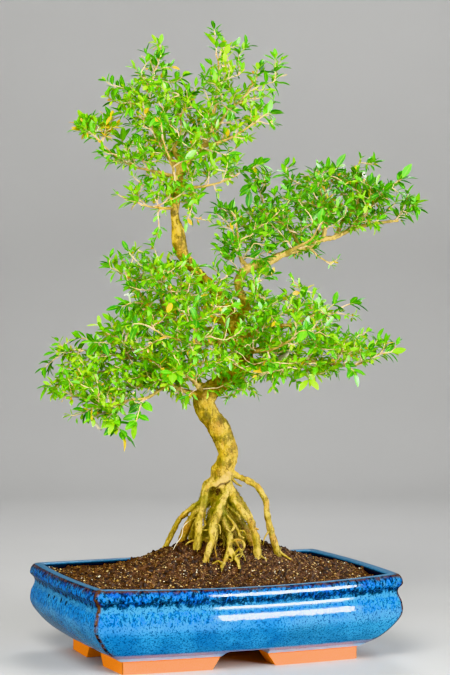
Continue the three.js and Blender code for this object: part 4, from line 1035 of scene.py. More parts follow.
def carried_frames(path: np.ndarray) -> Axes:
    """Carries a pair of cross directions along a path without twist.

    Args:
        path: Points, one row each.

    Returns:
        The path's directions and the two cross directions at each point.
    """
    along = ways_of(path)
    first = np.cross(along[0], (0, 0, 1) if abs(along[0][2]) < 0.9 else (1, 0, 0))
    side = np.zeros_like(path)
    side[0] = first / np.linalg.norm(first)
    for i in range(1, len(path)):
        carried = side[i - 1] - along[i] * (side[i - 1] @ along[i])
        side[i] = carried / np.linalg.norm(carried)
    return along, side, np.cross(along, side)


@dataclass
class TreeFrame:
    """The tree's own frame: millimetres from the middle of the pot, turned about Z."""

    middle: Vector
    turn: float = math.radians(-21.5)

    def place(self, points: np.ndarray) -> np.ndarray:
        """Takes points of the tree, in millimetres, to the part's frame, in metres."""
        return placed(self.aim(np.asarray(points, float)), self.middle)

    def aim(self, directions: np.ndarray) -> np.ndarray:
        """Turns directions of the tree to the part's frame."""
        return about_z(directions, self.turn)

    def tube(self, path: np.ndarray) -> np.ndarray:
        """Takes a path with its radii to the part's frame, in metres."""
        return np.column_stack([self.place(path[:, :3]), path[:, 3] * MM])


class GeometryTree(NodeSketch):
    """A geometry node tree with named inputs, which a modifier runs on one object."""

    def __init__(self, name: str, **inputs: Any) -> None:
        """Starts the tree.

        Args:
            name: The tree's name.
            inputs: The value of each named input after the geometry.
        """
        tree = bpy.data.node_groups.new(name, "GeometryNodeTree")
        super().__init__(tree)
        tree.interface.new_socket("Geometry", in_out="INPUT", socket_type="NodeSocketGeometry")
        tree.interface.new_socket("Geometry", in_out="OUTPUT", socket_type="NodeSocketGeometry")
        kinds = {Object: "Object", Material: "Material", int: "Int", float: "Float"}
        self.values = {}
        for key, value in inputs.items():
            kind = "NodeSocket" + kinds[type(value)]
            socket = tree.interface.new_socket(key, in_out="INPUT", socket_type=kind)
            self.values[socket.identifier] = value
        self.given = self.add("NodeGroupInput").outputs

    def read(self, name: str, kind: str) -> NodeSocket:
        """Reads a named attribute of a data type as a field."""
        node = self.add("GeometryNodeInputNamedAttribute", {"Name": name}, data_type=kind)
        return node.outputs["Attribute"]

    def store(self, geometry: NodeSocket, name: str, value: NodeSocket) -> NodeSocket:
        """Stores a number at each point under a name."""
        inputs = {"Geometry": geometry, "Name": name, "Value": value}
        return self.add("GeometryNodeStoreNamedAttribute", inputs, data_type="FLOAT").outputs[0]

    def random(self, low: Any, high: Any, seed: Any) -> NodeSocket:
        """Draws a number between two for each point."""
        inputs = {2: low, 3: high, "Seed": seed}
        return self.add("FunctionNodeRandomValue", inputs, data_type="FLOAT").outputs[1]

    def scatter(self, density: NodeSocket) -> Node:
        """Scatters points over the faces of the object."""
        return self.add("GeometryNodeDistributePointsOnFaces", {
            "Mesh": self.given["Geometry"], "Density": density, "Seed": self.given["Seed"]})

    def shape(self, name: str) -> NodeSocket:
        """Gives the geometry of a named input's object."""
        return self.add("GeometryNodeObjectInfo", {"Object": self.given[name]}).outputs["Geometry"]

    def rotation(self, turn: NodeSocket) -> NodeSocket:
        """Makes a rotation of three angles."""
        return self.add("FunctionNodeEulerToRotation", {0: turn}).outputs[0]

    def instances(self, points: NodeSocket, shape: NodeSocket, rotation: NodeSocket, scale: NodeSocket,
                  **others: Any) -> NodeSocket:
        """Sets an instance on each point.

        Args:
            points: The points.
            shape: What stands on them.
            rotation: How each is turned.
            scale: How large each is.
            others: Further inputs, with underscores for the spaces in their names.

        Returns:
            The instances.
        """
        inputs = {"Points": points, "Instance": shape, "Rotation": rotation, "Scale": scale}
        inputs.update({name.replace("_", " "): value for name, value in others.items()})
        return self.add("GeometryNodeInstanceOnPoints", inputs).outputs[0]

    def run(self, geometry: NodeSocket, obj: Object, name: str) -> Object:
        """Ends the tree, runs it on an object and keeps the result as a plain mesh.

        Args:
            geometry: The geometry to give out, with its instances realized and its material set.
            obj: The object that the tree reads, which is removed.
            name: The new object's name.

        Returns:
            The plain mesh object.
        """
        real = self.add("GeometryNodeRealizeInstances", {"Geometry": geometry}).outputs[0]
        painted = self.add("GeometryNodeSetMaterial", {0: real, "Material": self.given["Material"]})
        self.add("NodeGroupOutput", {0: painted.outputs[0]})
        modifier = obj.modifiers.new(self.tree.name, "NODES")
        modifier.node_group = self.tree
        for identifier, value in self.values.items():
            modifier[identifier] = value
        return baked(obj, name)


def tubes_along(name: str, paths: Iterable[np.ndarray], sides: int, material: Material) -> Object:
    """Runs round tubes along paths, with Geometry Nodes.

    Args:
        name: The piece's name.
        paths: Rows of x, y, z and radius, in metres.
        sides: Faces round each tube.
        material: The tubes' material.

    Returns:
        One mesh object.
    """
    curve = bpy.data.curves.new(name, "CURVE")
    curve.dimensions = "3D"
    for path in paths:
        line = curve.splines.new("POLY")
        line.points.add(len(path) - 1)
        line.points.foreach_set("co", np.column_stack([path[:, :3], np.ones(len(path))]).ravel())
        line.points.foreach_set("radius", path[:, 3])
    tree = GeometryTree(name + "_tubes", Sides=sides, Material=material)
    circle = tree.add("GeometryNodeCurvePrimitiveCircle", {"Resolution": tree.given["Sides"], "Radius": 1.0})
    share = tree.add("GeometryNodeSplineParameter").outputs["Factor"]
    tube = tree.add("GeometryNodeCurveToMesh", {
        "Curve": tree.store(tree.given["Geometry"], "young", share), "Profile Curve": circle.outputs[0],
        "Scale": tree.add("GeometryNodeInputRadius").outputs[0], "Fill Caps": True})
    smooth = tree.add("GeometryNodeSetShadeSmooth", {0: tube.outputs[0]})
    return tree.run(smooth.outputs[0], linked(name + "_guide", curve), name)


def paint_over(obj: Object, material: Material) -> None:
    """Gives an object one material in place of any others."""
    obj.data.materials.clear()
    obj.data.materials.append(material)


def dress(obj: Object, slot: Slot, *nodes: str, material: Material | None = None) -> None:
    """Makes a piece part of the object.

    Args:
        obj: The piece.
        slot: The record's slot for its finish; not used.
        nodes: The nodes it stands for.
        material: Its material, unless it has one already.
    """
    if material:
        paint_over(obj, material)
    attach(obj, BODY)
    if nodes:
        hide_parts(*nodes)
    LOG.info("%s: %d faces", obj.name, len(obj.data.polygons))


@dataclass
class Pot:
    """A bowed rectangular bonsai pot with a rolled lip, four angled feet and two drain holes."""

    middle: Vector
    length: float = 320.0
    width: float = 216.0
    height: float = 86.5
    width_share: float = 0.82
    long_bow: Span = (6.0, 19.0)
    short_bow: Span = (2.0, 4.5)
    bow_top: float = 46.0
    sag: float = 2.0
    corner: float = 5.0
    foot_corner: float = 1.8
    foot_inset: float = 36.0
    foot_top: float = 12.0
    chamfer: float = 0.6
    underside: float = 19.0
    foot_arms: Span = (91.0, 53.0)
    foot_thickness: float = 22.0
    end_slope: float = 10.0
    shoulder: float = 5.0
    drain_radius: float = 11.0
    drain_offset: float = 62.0
    floor: float = 26.0
    outer: tuple[Span, ...] = (
        (30, 15), (20, 21), (12, 28), (5.2, 36), (0.6, 43), (-1.1, 47.5), (-1.55, 50.5), (-1.5, 53.8),
        (-1.35, 54.9), (-0.4, 60.4), (0.2, 61.9), (1.7, 65.4), (2.1, 66.8), (2.45, 68.6), (2.45, 70.2),
        (1.6, 72.6), (-0.6, 75.2), (-1.5, 76.8), (-1.6, 77.8), (-1.45, 79), (-1.1, 81), (-0.4, 83),
        (0.9, 85.2), (2.6, 86.5), (4.6, 86.9),
    )
    inner: tuple[Span, ...] = (
        (10.2, 86), (12, 83.6), (12.4, 79), (12.2, 60), (14.5, 44), (21.5, 33), (32, 27),
    )
    under_skin: tuple[Knot, Knot] = ((0, 12, 19, 26), (36, 36, 25, 14))
    spots: tuple[Span, ...] = ((33.5, 63.2), (15, 63.8), (-8.5, 64.3), (-24.5, 63.9))
    long_steps: int = 48
    short_steps: int = 36
    corner_steps: int = 5

    def swelling(self, z: float | np.ndarray) -> float | np.ndarray:
        """Gives how much of their bow the sides have at a height: all of it from the belly up."""
        return np.clip((z - self.foot_top) / (self.bow_top - self.foot_top), 0, 1)

    def bows(self, z: float | np.ndarray) -> tuple[Any, Any, Any]:
        """Gives the bow of the long and short sides and the sag at a height.

        Args:
            z: The height, in millimetres.

        Returns:
            The bow of the long sides, that of the short sides and the sag, in millimetres.
        """
        rise = self.swelling(z)
        long = self.long_bow[0] + (self.long_bow[1] - self.long_bow[0]) * rise
        short = self.short_bow[0] + (self.short_bow[1] - self.short_bow[0]) * rise
        return long, short, self.sag * np.clip(z / self.height, 0, 1) ** 2

    def corner_radius(self, z: float | np.ndarray) -> float | np.ndarray:
        """Gives the radius of the corners at a height: crisp at the feet and rounder above."""
        return np.interp(z, (self.foot_top, self.foot_top + 24), (self.foot_corner, self.corner))

    def ring(self, inset: float, z: float) -> np.ndarray:
        """Draws the plan of the pot at one height.

        Args:
            inset: Distance in from the rim, in millimetres.
            z: Height, in millimetres.

        Returns:
            The ring's points in millimetres, anticlockwise from above.
        """
        long, short, sag = self.bows(z)
        half_length = self.length / 2 - inset
        half_width = self.width / 2 - inset * self.width_share
        r = self.corner_radius(z)
        u = np.linspace(-1, 1, self.long_steps)
        swell = 1 - u * u
        front = np.stack([u * (half_length - r), -half_width - long * swell, z - sag * swell], axis=1)
        angles = np.linspace(-math.pi / 2, 0, self.corner_steps + 2)[1:-1]
        bend = np.stack([half_length - r + r * np.cos(angles), -half_width + r + r * np.sin(angles),
                         np.full(len(angles), z)], axis=1)
        v = np.linspace(-1, 1, self.short_steps)
        side = np.stack([half_length + short * (1 - v * v), v * (half_width - r), np.full(len(v), z)], axis=1)
        half = np.vstack([front, bend, side, bend[::-1] * (1, -1, 1)])
        return np.vstack([half, half * (-1, -1, 1)])

    def shell(self) -> Object:
        """Builds the turned-out body with solid feet, before the cuts.

        Returns:
            The uncut pot.
        """
        foot = [(self.foot_inset, z) for z in (0.0, self.chamfer, self.foot_top - self.chamfer)]
        foot.append((self.foot_inset - self.chamfer, self.foot_top))
        profile = spline([(*row, 0.0) for row in self.outer + self.inner], 1.4)[:, :2]
        rings = [self.ring(inset, z) for inset, z in [*foot, *profile]]
        base = self.ring(self.inner[-1][0] + 4, self.floor)
        base[:, 2] = self.floor
        rings.append(base)
        points = placed(np.vstack(rings), self.middle)
        return make_object("pot_shell", points, loft_faces(len(rings), len(base)))

    def prism(self, half_width: float, length: float, turned: bool) -> Object:
        """Builds the round-shouldered wedge that parts two feet.

        Args:
            half_width: Half its width at the floor, in millimetres.
            length: Its length through the pot, in millimetres.
            turned: Whether it runs along X rather than Y.

        Returns:
            The cutter.
        """
        r = self.shoulder
        angles = np.linspace(0, math.pi / 2 - 0.4, 6)
        edge = half_width - self.end_slope - r
        bend = [(edge + r * math.cos(a) * 1.15, self.underside - r + r * math.sin(a)) for a in angles]
        right = [(half_width + 1, -1.0), *bend]
        section = right + [(-x, z) for x, z in reversed(right)]
        points = np.array([(x, y, z) for y in (length / 2, -length / 2) for x, z in section])
        if turned:
            points = points[:, [1, 0, 2]] * (-1, 1, 1)
        return make_object("foot_gap", placed(points, self.middle), loft_faces(2, len(section)), smooth=False)

    def block(self, size: Point, centre: Point, sides: int = 4) -> Object:
        """Builds a box, or a round plug with more sides, that cuts the pot.

        Args:
            size: Its lengths along X, Y and Z, in millimetres.
            centre: Its middle, in millimetres.
            sides: Its sides in plan.

        Returns:
            The cutter.
        """
        reach = 1 / math.cos(math.pi / sides)
        turns = (np.arange(sides) + 0.5) * 2 * math.pi / sides
        plan = np.stack([np.cos(turns) * size[0], np.sin(turns) * size[1]], axis=1) * reach / 2
        rows = [(x + centre[0], y + centre[1], centre[2] + lift * size[2] / 2)
                for lift in (-1, 1) for x, y in plan]
        return make_object("cutter", placed(np.array(rows), self.middle), loft_faces(2, sides), smooth=False)

    def cutters(self) -> list[Object]:
        """Builds everything that is cut from below.

        Returns:
            Two gaps between the feet, the hollow behind them and two drain holes.
        """
        foot_length = self.length - 2 * self.foot_inset
        foot_width = self.width - 2 * self.foot_inset * self.width_share
        hollow = (foot_length - 2 * self.foot_thickness,
                  foot_width - 2 * self.foot_thickness + self.long_bow[0], 2 * self.underside)
        bore = (2 * self.drain_radius, 2 * self.drain_radius, 3 * self.floor)
        return [
            self.prism(foot_length / 2 - self.foot_arms[0], self.width + 60, turned=False),
            self.prism(foot_width / 2 - self.foot_arms[1], self.length + 60, turned=True),
            self.block(hollow, (0, 0, 0)),
            *[self.block(bore, (x, 0, 0), sides=32) for x in (-self.drain_offset, self.drain_offset)],
        ]

    def masks(self, points: np.ndarray) -> dict[str, np.ndarray]:
        """Works out where the glaze breaks, and what lies under the pot.

        Args:
            points: The pot's points, in millimetres from its middle.

        Returns:
            The attributes arris, rim_top, under and inside.
        """
        x, y, z = points.T
        insets, levels = np.array([(self.foot_inset, 0.0), (self.foot_inset, self.foot_top), *self.outer]).T
        inset = np.interp(z, levels, insets)
        bend = self.corner_radius(z) * 0.3
        corner_x = self.length / 2 - inset - bend
        corner_y = self.width / 2 - inset * self.width_share - bend
        near = np.hypot(np.abs(x) - corner_x, np.abs(y) - corner_y)
        long, short, sag = self.bows(z)
        u = np.clip(np.abs(x) / (self.length / 2 - self.corner), 0, 1)
        v = np.clip(np.abs(y) / (self.width / 2 - self.corner), 0, 1)
        in_x = self.length / 2 + short * (1 - v * v) - np.abs(x)
        in_y = (self.width / 2 + long * (1 - u * u) - np.abs(y)) / self.width_share
        depth = np.minimum(in_x, in_y)
        level = z + sag * np.where(in_y < in_x + 6, 1 - u * u, 0)
        lip = smoothstep(self.height - 2.2, self.height - 1.2, level) * (1 - smoothstep(1.9, 2.8, depth))
        foot = (1 - smoothstep(0.3, 1.2, near)) * (z < self.foot_top + 1)
        arris = np.maximum(np.maximum(1 - smoothstep(1.5, 3.3, near), lip) * (z > self.foot_top + 1), foot)
        inside = smoothstep(3, 4, depth - inset)
        rim_top = smoothstep(self.height - 2.0, self.height - 1.2, level) * smoothstep(2.0, 3.0, depth)
        under = smoothstep(4, 6, depth - np.interp(z, *self.under_skin)) * (z < self.underside + 1)
        return {"arris": arris * (1 - inside * 0.4), "rim_top": rim_top, "under": under,
                "inside": inside * (1 - rim_top) * (z > self.floor)}

    def build(self) -> None:
        """Builds the pot as one fired piece."""
        shell = self.shell()
        tools = self.cutters()
        for tool in tools:
            cut = shell.modifiers.new("cut", "BOOLEAN")
            cut.operation, cut.solver, cut.object = "DIFFERENCE", "EXACT", tool
        pot = baked(shell, "glazed_pot")
        remove(*tools)
        pot.data.set_sharp_from_angle(angle=math.radians(38))
        carry(pot, self.masks(local(pot, self.middle)))
        spots = tuple((self.middle.y + along * MM, high * MM) for along, high in self.spots)
        dress(pot, Slot.GLAZE, "pot", material=GlazeFinish(spots=spots).material())


@dataclass(frozen=True)
class Grains:
    """Loose grains: their piece, corners and number, their radii in millimetres and their lightest shade."""

    name: str
    corners: int
    number: int
    sizes: Span
    lightest: float


@dataclass
class Soil:
    """Potting mix heaped round the roots, with loose grit over it."""

    pot: Pot
    edge: float = 80.5
    back_drop: float = 2.2
    right_drop: float = 1.3
    gap: float = 0.45
    shrink: float = 0.6
    mound: Span = (8.0, 2.0)
    mound_height: float = 38.5
    spread: Span = (70.0, 38.0)
    rings: int = 70
    clods: int = 2600
    grains: int = 11500
    seed: int = 11

    def top(self, x: np.ndarray, y: np.ndarray) -> np.ndarray:
        """Gives the height of the soil at places in the pot, in millimetres.

        Args:
            x: Places along the pot, from its middle.
            y: Places across it.

        Returns:
            The heights.
        """
        across = (x - self.mound[0]) / self.spread[0]
        along = (y - self.mound[1]) / self.spread[1]
        heap = self.mound_height * np.exp(-0.5 * (across ** 2 + along ** 2))
        crumb = np.sin(0.31 * x + 0.9) * np.cos(0.27 * y) + 0.6 * np.sin(0.53 * y - 0.19 * x)
        right, back = x / (self.pot.length / 2), y / (self.pot.width / 2)
        slope = self.back_drop * np.maximum(back, 0) * (1 + 0.9 * right) + self.right_drop * right
        return self.edge - slope + heap + 0.7 * crumb

    def surface(self) -> np.ndarray:
        """Draws the crumbly top as rings that close on the middle of the heap.

        Returns:
            The rings' points in millimetres, from the outer ring inwards.
        """
        rim = self.pot.ring(self.pot.inner[2][0] + self.gap + self.shrink, self.edge - self.back_drop - 3)
        rows = []
        for scale in np.sin(np.linspace(math.pi / 2, 0.02, self.rings)):
            x, y = (middle + (rim[:, k] - middle) * scale for k, middle in enumerate(self.mound))
            rows.append(np.stack([x, y, self.top(x, y)], axis=1))
        points = np.vstack(rows)
        for i, (x, y, _) in enumerate(points):
            points[i, 2] += 2.4 * noise.fractal(Vector((x * 0.16, y * 0.16, 1.7)), 0.6, 2.0, 4) - 0.5
        return points

    def build(self) -> None:
        """Builds the mass of soil, its clods and its grit."""
        wall = self.pot.inner[::-1][:4]
        rows = [self.pot.ring(inset + self.gap, z + self.gap) for inset, z in wall]
        count = len(rows[0])
        points = placed(np.vstack([*rows, self.surface()]), self.pot.middle)
        mass = make_object("soil_mass", points, loft_faces(len(points) // count, count))
        dress(mass, Slot.SOIL, "soil", material=SoilFinish().material())
        grit = GritFinish().material()
        top = points[len(wall) * count:]
        for grains in (Grains("soil_clods", 12, self.clods, (1.0, 3.1), 0.72),
                       Grains("loose_grit", 6, self.grains, (0.5, 1.75), 1.0)):
            dress(self.scatter(grains, top, count, grit), Slot.SOIL)

    def scatter(self, grains: Grains, top: np.ndarray, count: int, material: Material) -> Object:
        """Scatters grains over the soil, with Geometry Nodes.

        Args:
            grains: What is scattered.
            top: The points of the soil's top, in metres.
            count: Points in each ring of it.
            material: The grains' material.

        Returns:
            The grains as one mesh object.
        """
        bed = make_object(grains.name + "_bed", top, loft_faces(len(top) // count, count, closed=False))
        grain = rough_grain(grains.name + "_grain", self.seed, grains.corners)
        tree = GeometryTree(grains.name + "_scatter", Grain=grain, Density=grains.number / area_of(bed),
                            Smallest=grains.sizes[0] * MM, Largest=grains.sizes[1] * MM, Darkest=0.0,
                            Lightest=grains.lightest, Seed=self.seed, Material=material)
        given = tree.given
        spread = tree.scatter(given["Density"]).outputs[0]
        tint = tree.random(given["Darkest"], given["Lightest"], given["Seed"])
        turn = tree.add("FunctionNodeRandomValue", {0: (0.0, 0.0, 0.0), 1: (6.28, 6.28, 6.28), "Seed": 3},
                        data_type="FLOAT_VECTOR").outputs[0]
        share = tree.math("POWER", tree.random(0.0, 1.0, 5), 2.2)
        sizes = {0: share, 3: given["Smallest"], 4: given["Largest"]}
        size = tree.add("ShaderNodeMapRange", sizes).outputs[0]
        shaded = tree.store(spread, "tint", tint)
        heap = tree.instances(shaded, tree.shape("Grain"), tree.rotation(turn), size)
        piece = tree.run(heap, bed, grains.name)
        remove(grain)
        return piece


def rough_grain(name: str, seed: int, corners: int) -> Object:
    """Makes one uneven grain of about unit radius.

    Args:
        name: The object's name.
        seed: The seed of its dents.
        corners: 6 for a plain grain or 12 for a finer one.

    Returns:
        The grain.
    """
    golden = (1 + 5 ** 0.5) / 2
    rows = [tuple(sign * float(i == axis) for i in range(3)) for axis in range(3) for sign in (-1, 1)]
    longest = 1.5
    if corners == 12:
        rows = [tuple(np.roll((0, s, t * golden), axis))
                for axis in range(3) for s in (-1, 1) for t in (-1, 1)]
        longest = 2.01
    rows = np.array(rows, float)
    draw = np.random.default_rng(seed)
    reach = (0.8 + 0.4 * draw.random(len(rows))) / np.linalg.norm(rows, axis=1)
    points = rows * reach[:, None] * (1.0, 0.85, 0.7)
    faces = []
    for a, b, c in combinations(range(len(rows)), 3):
        if max(np.linalg.norm(rows[p] - rows[q]) for p, q in ((a, b), (b, c), (a, c))) < longest:
            normal = np.cross(rows[b] - rows[a], rows[c] - rows[a])
            faces.append((a, b, c) if normal @ rows[a] > 0 else (a, c, b))
    return make_object(name, points, faces, smooth=False)


def kinked(points: Sequence[Knot], kink: float) -> list[Knot]:
    """Bends a path a little at each of its inner points, as old wood is bent.

    Args:
        points: The path's points and radii.
        kink: The size of a kink, in millimetres.

    Returns:
        The bent path.
    """
    bent = []
    for i, (x, y, z, radius) in enumerate(points):
        inside = kink if 0 < i < len(points) - 1 else 0.0
        bent.append((x + inside * math.sin(5.1 * i + 0.37 * z), y + inside * math.sin(3.7 * i + 0.21 * x),
                     z + inside * math.cos(4.3 * i + 0.3 * y), radius))
    return bent


def limb_path(name: str) -> list[Knot]:
    """Gives a limb's points, slimmer past its foot and with the small kinks of pruned wood.

    Args:
        name: The limb's name.

    Returns:
        Its points and radii in the tree's frame.
    """
    shares = (1.0, 0.94, 0.88) if name == "right_limb" or name.startswith("dead") else (1.0, 0.74, LIMB_SHARE)
    slim = [(*row[:3], row[3] * shares[min(i, 2)]) for i, row in enumerate(LIMBS[name])]
    return slim if name == "right_limb" else kinked(slim, LIMB_KINK)


@dataclass
class Wood:
    """Trunk, exposed roots and limbs, grown together, with rootlets and moss among the roots."""

    frame: TreeFrame
    soil: Soil
    voxel: float = 1.15 * MM
    thick: float = 1.9
    sides: int = 14
    step: float = 2.4
    root_kink: float = 0.9
    straight: float = 0.8
    fibres: int = 260
    curls: int = 14
    curled_roots: tuple[int, ...] = (6, 6, 6, 7, 4, 4, 3, 2)
    toe_share: float = 0.5
    outer_roots: int = 11
    moss_tufts: int = 1500
    rust_places: tuple[Point, ...] = ((-29, 9, 126), (-33, 11, 112), (33, 3, 126), (38, 1, 112))
    seed: int = 5

    def __post_init__(self) -> None:
        """Starts the stream of draws."""
        self.draw = np.random.default_rng(self.seed)

    def ground(self, place: np.ndarray) -> float:
        """Gives the height of the soil under a place of the tree, in millimetres."""
        x, y, _ = self.frame.aim(np.asarray(place, float))
        return float(self.soil.top(x, y))

    def root_line(self, root: Sequence[Knot]) -> np.ndarray:
        """Draws a root as it bends: partly a curve, mostly straight from joint to joint.

        Args:
            root: Its points and radii.

        Returns:
            The points and radii of its line.
        """
        knots = kinked(root, self.root_kink)
        curve = spline(knots, self.step)
        return (1 - self.straight) * curve + self.straight * even_steps(np.asarray(knots, float), len(curve))

    def tube(self, line: np.ndarray, flute: float, knob: float = 0.05) -> tuple[np.ndarray, Faces]:
        """Draws one closed tapering tube in millimetres.

        Args:
            line: The points it runs through, with their radii.
            flute: The depth of its ribs as a share of the radius.
            knob: The height of its swellings as a share of the radius.

        Returns:
            Its points and faces.
        """
        _, side, other = carried_frames(line[:, :3])
        angles = np.arange(self.sides) / self.sides * 2 * math.pi
        rings = []
        for i, (x, y, z, radius) in enumerate(line):
            ripple = np.sin(2 * angles + i * 0.11) + 0.6 * np.sin(3 * angles - i * 0.08)
            knobs = knob * (math.sin(i * 0.55 + x) + 0.8 * math.sin(i * 0.23 + z))
            reach = radius * (1 + flute * ripple + knobs)
            ring = (np.cos(angles) * reach)[:, None] * side[i] + (np.sin(angles) * reach)[:, None] * other[i]
            rings.append(ring + (x, y, z))
        return np.vstack(rings), loft_faces(len(rings), self.sides)

    def stout(self, knots: list[Knot]) -> list[Knot]:
        """Keeps the points of a limb up to the place where it is thin."""
        kept = [row for row in knots if row[3] >= self.thick]
        return kept if len(kept) > 1 else []

    def core(self) -> Object:
        """Melts the trunk, the roots and the stout parts of the limbs into one skin with bark on it.

        Returns:
            The piece.
        """
        parts = [self.tube(spline(TRUNK, self.step), 0.06)]
        parts += [self.tube(self.root_line(root), 0.09, 0.09) for root in ROOTS]
        stout = [self.stout(limb_path(name)) for name in LIMBS]
        parts += [self.tube(spline(knots, self.step), 0.04) for knots in stout if knots]
        points, faces, start = [], [], 0
        for places, numbers in parts:
            points.append(places)
            faces.extend(tuple(i + start for i in face) for face in numbers)
            start += len(places)
        rough = make_object("wood_rough", self.frame.place(np.vstack(points)), faces)
        melt = rough.modifiers.new("melt", "REMESH")
        melt.mode, melt.voxel_size, melt.use_smooth_shade = "VOXEL", self.voxel, True
        soften = rough.modifiers.new("soften", "SMOOTH")
        soften.factor, soften.iterations = 0.5, 3
        core = baked(rough, "trunk_and_roots")
        self.raise_bark(core)
        return core

    def raise_bark(self, core: Object) -> None:
        """Moves the skin out and in along its normals, as ridged and flaking bark is.

        Args:
            core: The smooth wood.
        """
        points = corners_of(core)
        normals = np.zeros(points.size)
        core.data.vertex_normals.foreach_get("vector", normals)
        lift = np.zeros(len(points))
        for i, (x, y, z) in enumerate(points / MM):
            broad = noise.noise(Vector((x / 11, y / 11, z / 24)))
            ridge = 1 - abs(noise.noise(Vector((x / 4.2, y / 4.2, z / 13)))) * 2
            flake = noise.noise(Vector((x / 2.4, y / 2.4, z / 5)))
            lift[i] = 0.75 * broad + 0.5 * (ridge - 0.6) + 0.34 * flake
        places = self.tree_places(core)
        lift -= 2.2 * self.hollow(*places) + 1.0 * self.crease(*places)
        old = 0.72 + 0.28 * smoothstep(150, 190, points[:, 2] / MM)
        points += normals.reshape(-1, 3) * (lift * old * MM)[:, None]
        core.data.vertices.foreach_set("co", points.ravel())
        core.data.update()

    def tree_places(self, obj: Object) -> np.ndarray:
        """Gives x, y and z of a piece's points in the tree's frame, in millimetres."""
        return about_z(local(obj, self.frame.middle), -self.frame.turn).T

    def hollow(self, x: np.ndarray, y: np.ndarray, z: np.ndarray) -> np.ndarray:
        """Marks the rotten hollow at the front of the root crown, dark with rot and with painted shade.

        Args:
            x, y, z: Places of the tree.

        Returns:
            Their marks, from 0 to 1.
        """
        ragged = 0.16 * np.sin(1.1 * x + 0.7 * z) + 0.12 * np.sin(2.3 * z - 0.9 * x)
        off = np.hypot((x - 3.2) / 6.6, (z - 165.5) / 4.6) + ragged
        return (1 - smoothstep(0.6, 1.1, off)) * (y < 0)

    def crease(self, x: np.ndarray, y: np.ndarray, z: np.ndarray) -> np.ndarray:
        """Marks the crease below the scar, from the hollow up to the right, darkened with painted shade.

        Args:
            x, y, z: Places of the tree.

        Returns:
            Their marks, from 0 to 1.
        """
        along = (x + 2) * 0.92 + (z - 168) * 0.39
        across = np.abs((z - 168) * 0.92 - (x + 2) * 0.39 + 0.8 * np.sin(0.6 * x))
        return (1 - smoothstep(0.5, 1.7, across)) * (along > 0) * (along < 21) * (y < 0)

    def scar(self, x: np.ndarray, y: np.ndarray, z: np.ndarray) -> np.ndarray:
        """Marks the healed scar that crosses the front of the root crown.

        Args:
            x, y, z: Places of the tree.

        Returns:
            Their marks, from 0 to 1.
        """
        along = 0.78 * (x - 10) + 0.627 * (z - 177)
        across = -0.627 * (x - 10) + 0.78 * (z - 177)
        return (1 - smoothstep(8, 13, np.abs(along))) * (1 - smoothstep(2, 4.8, np.abs(across))) * (y < 1)

    def near(self, places: np.ndarray, spots: Iterable[Sequence[float]], full: float,
             none: float) -> np.ndarray:
        """Marks what lies near some spots.

        Args:
            places: x, y and z of the points.
            spots: The middles of the spots.
            full: The distance up to which the mark is whole, in millimetres.
            none: The distance where it has faded out.

        Returns:
            The mark of each point, from 0 to 1.
        """
        off = np.full(places.shape[1], FAR)
        for spot in spots:
            off = np.minimum(off, np.sqrt(((places - np.array(spot[:3], float)[:, None]) ** 2).sum(axis=0)))
        return 1 - smoothstep(full, none, off)

    def masks(self, obj: Object) -> None:
        """Marks where the bark is root, limb, mossy, rusty, scarred, hollow or dead, and painted shade.

        Args:
            obj: The wood piece.
        """
        places = self.tree_places(obj)
        x, y, z = places
        root = 1 - smoothstep(168, 190, z)
        inner = 1 - smoothstep(16, 34, np.hypot(x - 8, y))
        moss = np.clip(0.35 * root + 0.9 * inner * (1 - smoothstep(150, 176, z)), 0, 1)
        dry = [spot for name in LIMBS if name.startswith("dead") for spot in LIMBS[name][1:]]
        limb = (1 - self.near(places, spline(TRUNK, 5.0), 13, 30)) * (z > 230)
        # Painted shade in the gaps low in the core between the roots.
        core_shade = 0.85 * inner * (1 - smoothstep(122, 152, z))
        carry(obj, {
            "root": root,
            "limb": np.maximum(limb, 0.7 * smoothstep(430, 490, z)),
            "moss": np.maximum(moss, 0.22 * (1 - smoothstep(330, 420, z))),
            "dead": np.maximum(self.near(places, ROOTLETS[-1][2:], 5, 7), self.near(places, dry, 5, 9)),
            "rust": self.near(places, self.rust_places, 5, 12),
            "scar": self.scar(x, y, z),
            # This attribute carries the hollow and the crease, darkened with rot and painted shade, and the
            # core's painted shade.
            "hollow": np.maximum(np.maximum(self.hollow(x, y, z), self.crease(x, y, z)), core_shade),
        })

    def thin_limbs(self, material: Material) -> Object:
        """Builds the thin ends of the limbs as tubes that start inside the stout parts.

        Args:
            material: The bark.

        Returns:
            The piece.
        """
        paths = []
        for name in LIMBS:
            line = spline(limb_path(name), 2.2)
            stout = np.nonzero(line[:, 3] >= self.thick)[0]
            start = max(0, stout[-1] - 4) if len(stout) and self.stout(limb_path(name)) else 0
            path = line[start:].copy()
            steps = np.arange(len(path))
            wave = 0.35 * np.sin(steps * 0.9)[:, None] * (1.0, -0.7, 0.5)
            path[:, :3] += wave * (steps > 3)[:, None]
            path[:, 3] *= 1 + 0.08 * np.sin(steps * 1.7)
            paths.append(self.frame.tube(path))
        return tubes_along("thin_limbs", paths, 9, material)

    def wander(self, place: np.ndarray, heading: np.ndarray, radius: float, steps: int, stride: float,
               curl: float) -> np.ndarray:
        """Lets one rootlet grow and turn at random until it is in the soil.

        Args:
            place: Where it leaves.
            heading: The way it leaves.
            radius: Its radius there, in millimetres.
            steps: How many strides it takes at most.
            stride: The length of a stride, in millimetres.
            curl: How strongly it curls.

        Returns:
            Its points and radii in the tree's frame.
        """
        axis = self.draw.normal(0, 1, 3)
        rows = []
        for step in range(steps):
            rows.append((*place, radius * (1 - 0.5 * step / steps)))
            heading = heading + curl * np.cross(axis, heading) + self.draw.normal(0, 0.28, 3) + (0, 0, -0.2)
            heading = heading / np.linalg.norm(heading)
            place = place + heading * stride * self.draw.uniform(0.7, 1.2)
            if place[2] < self.ground(place) - 2.5:
                break
        rows.append((*place, radius * 0.4))
        return np.array(rows)

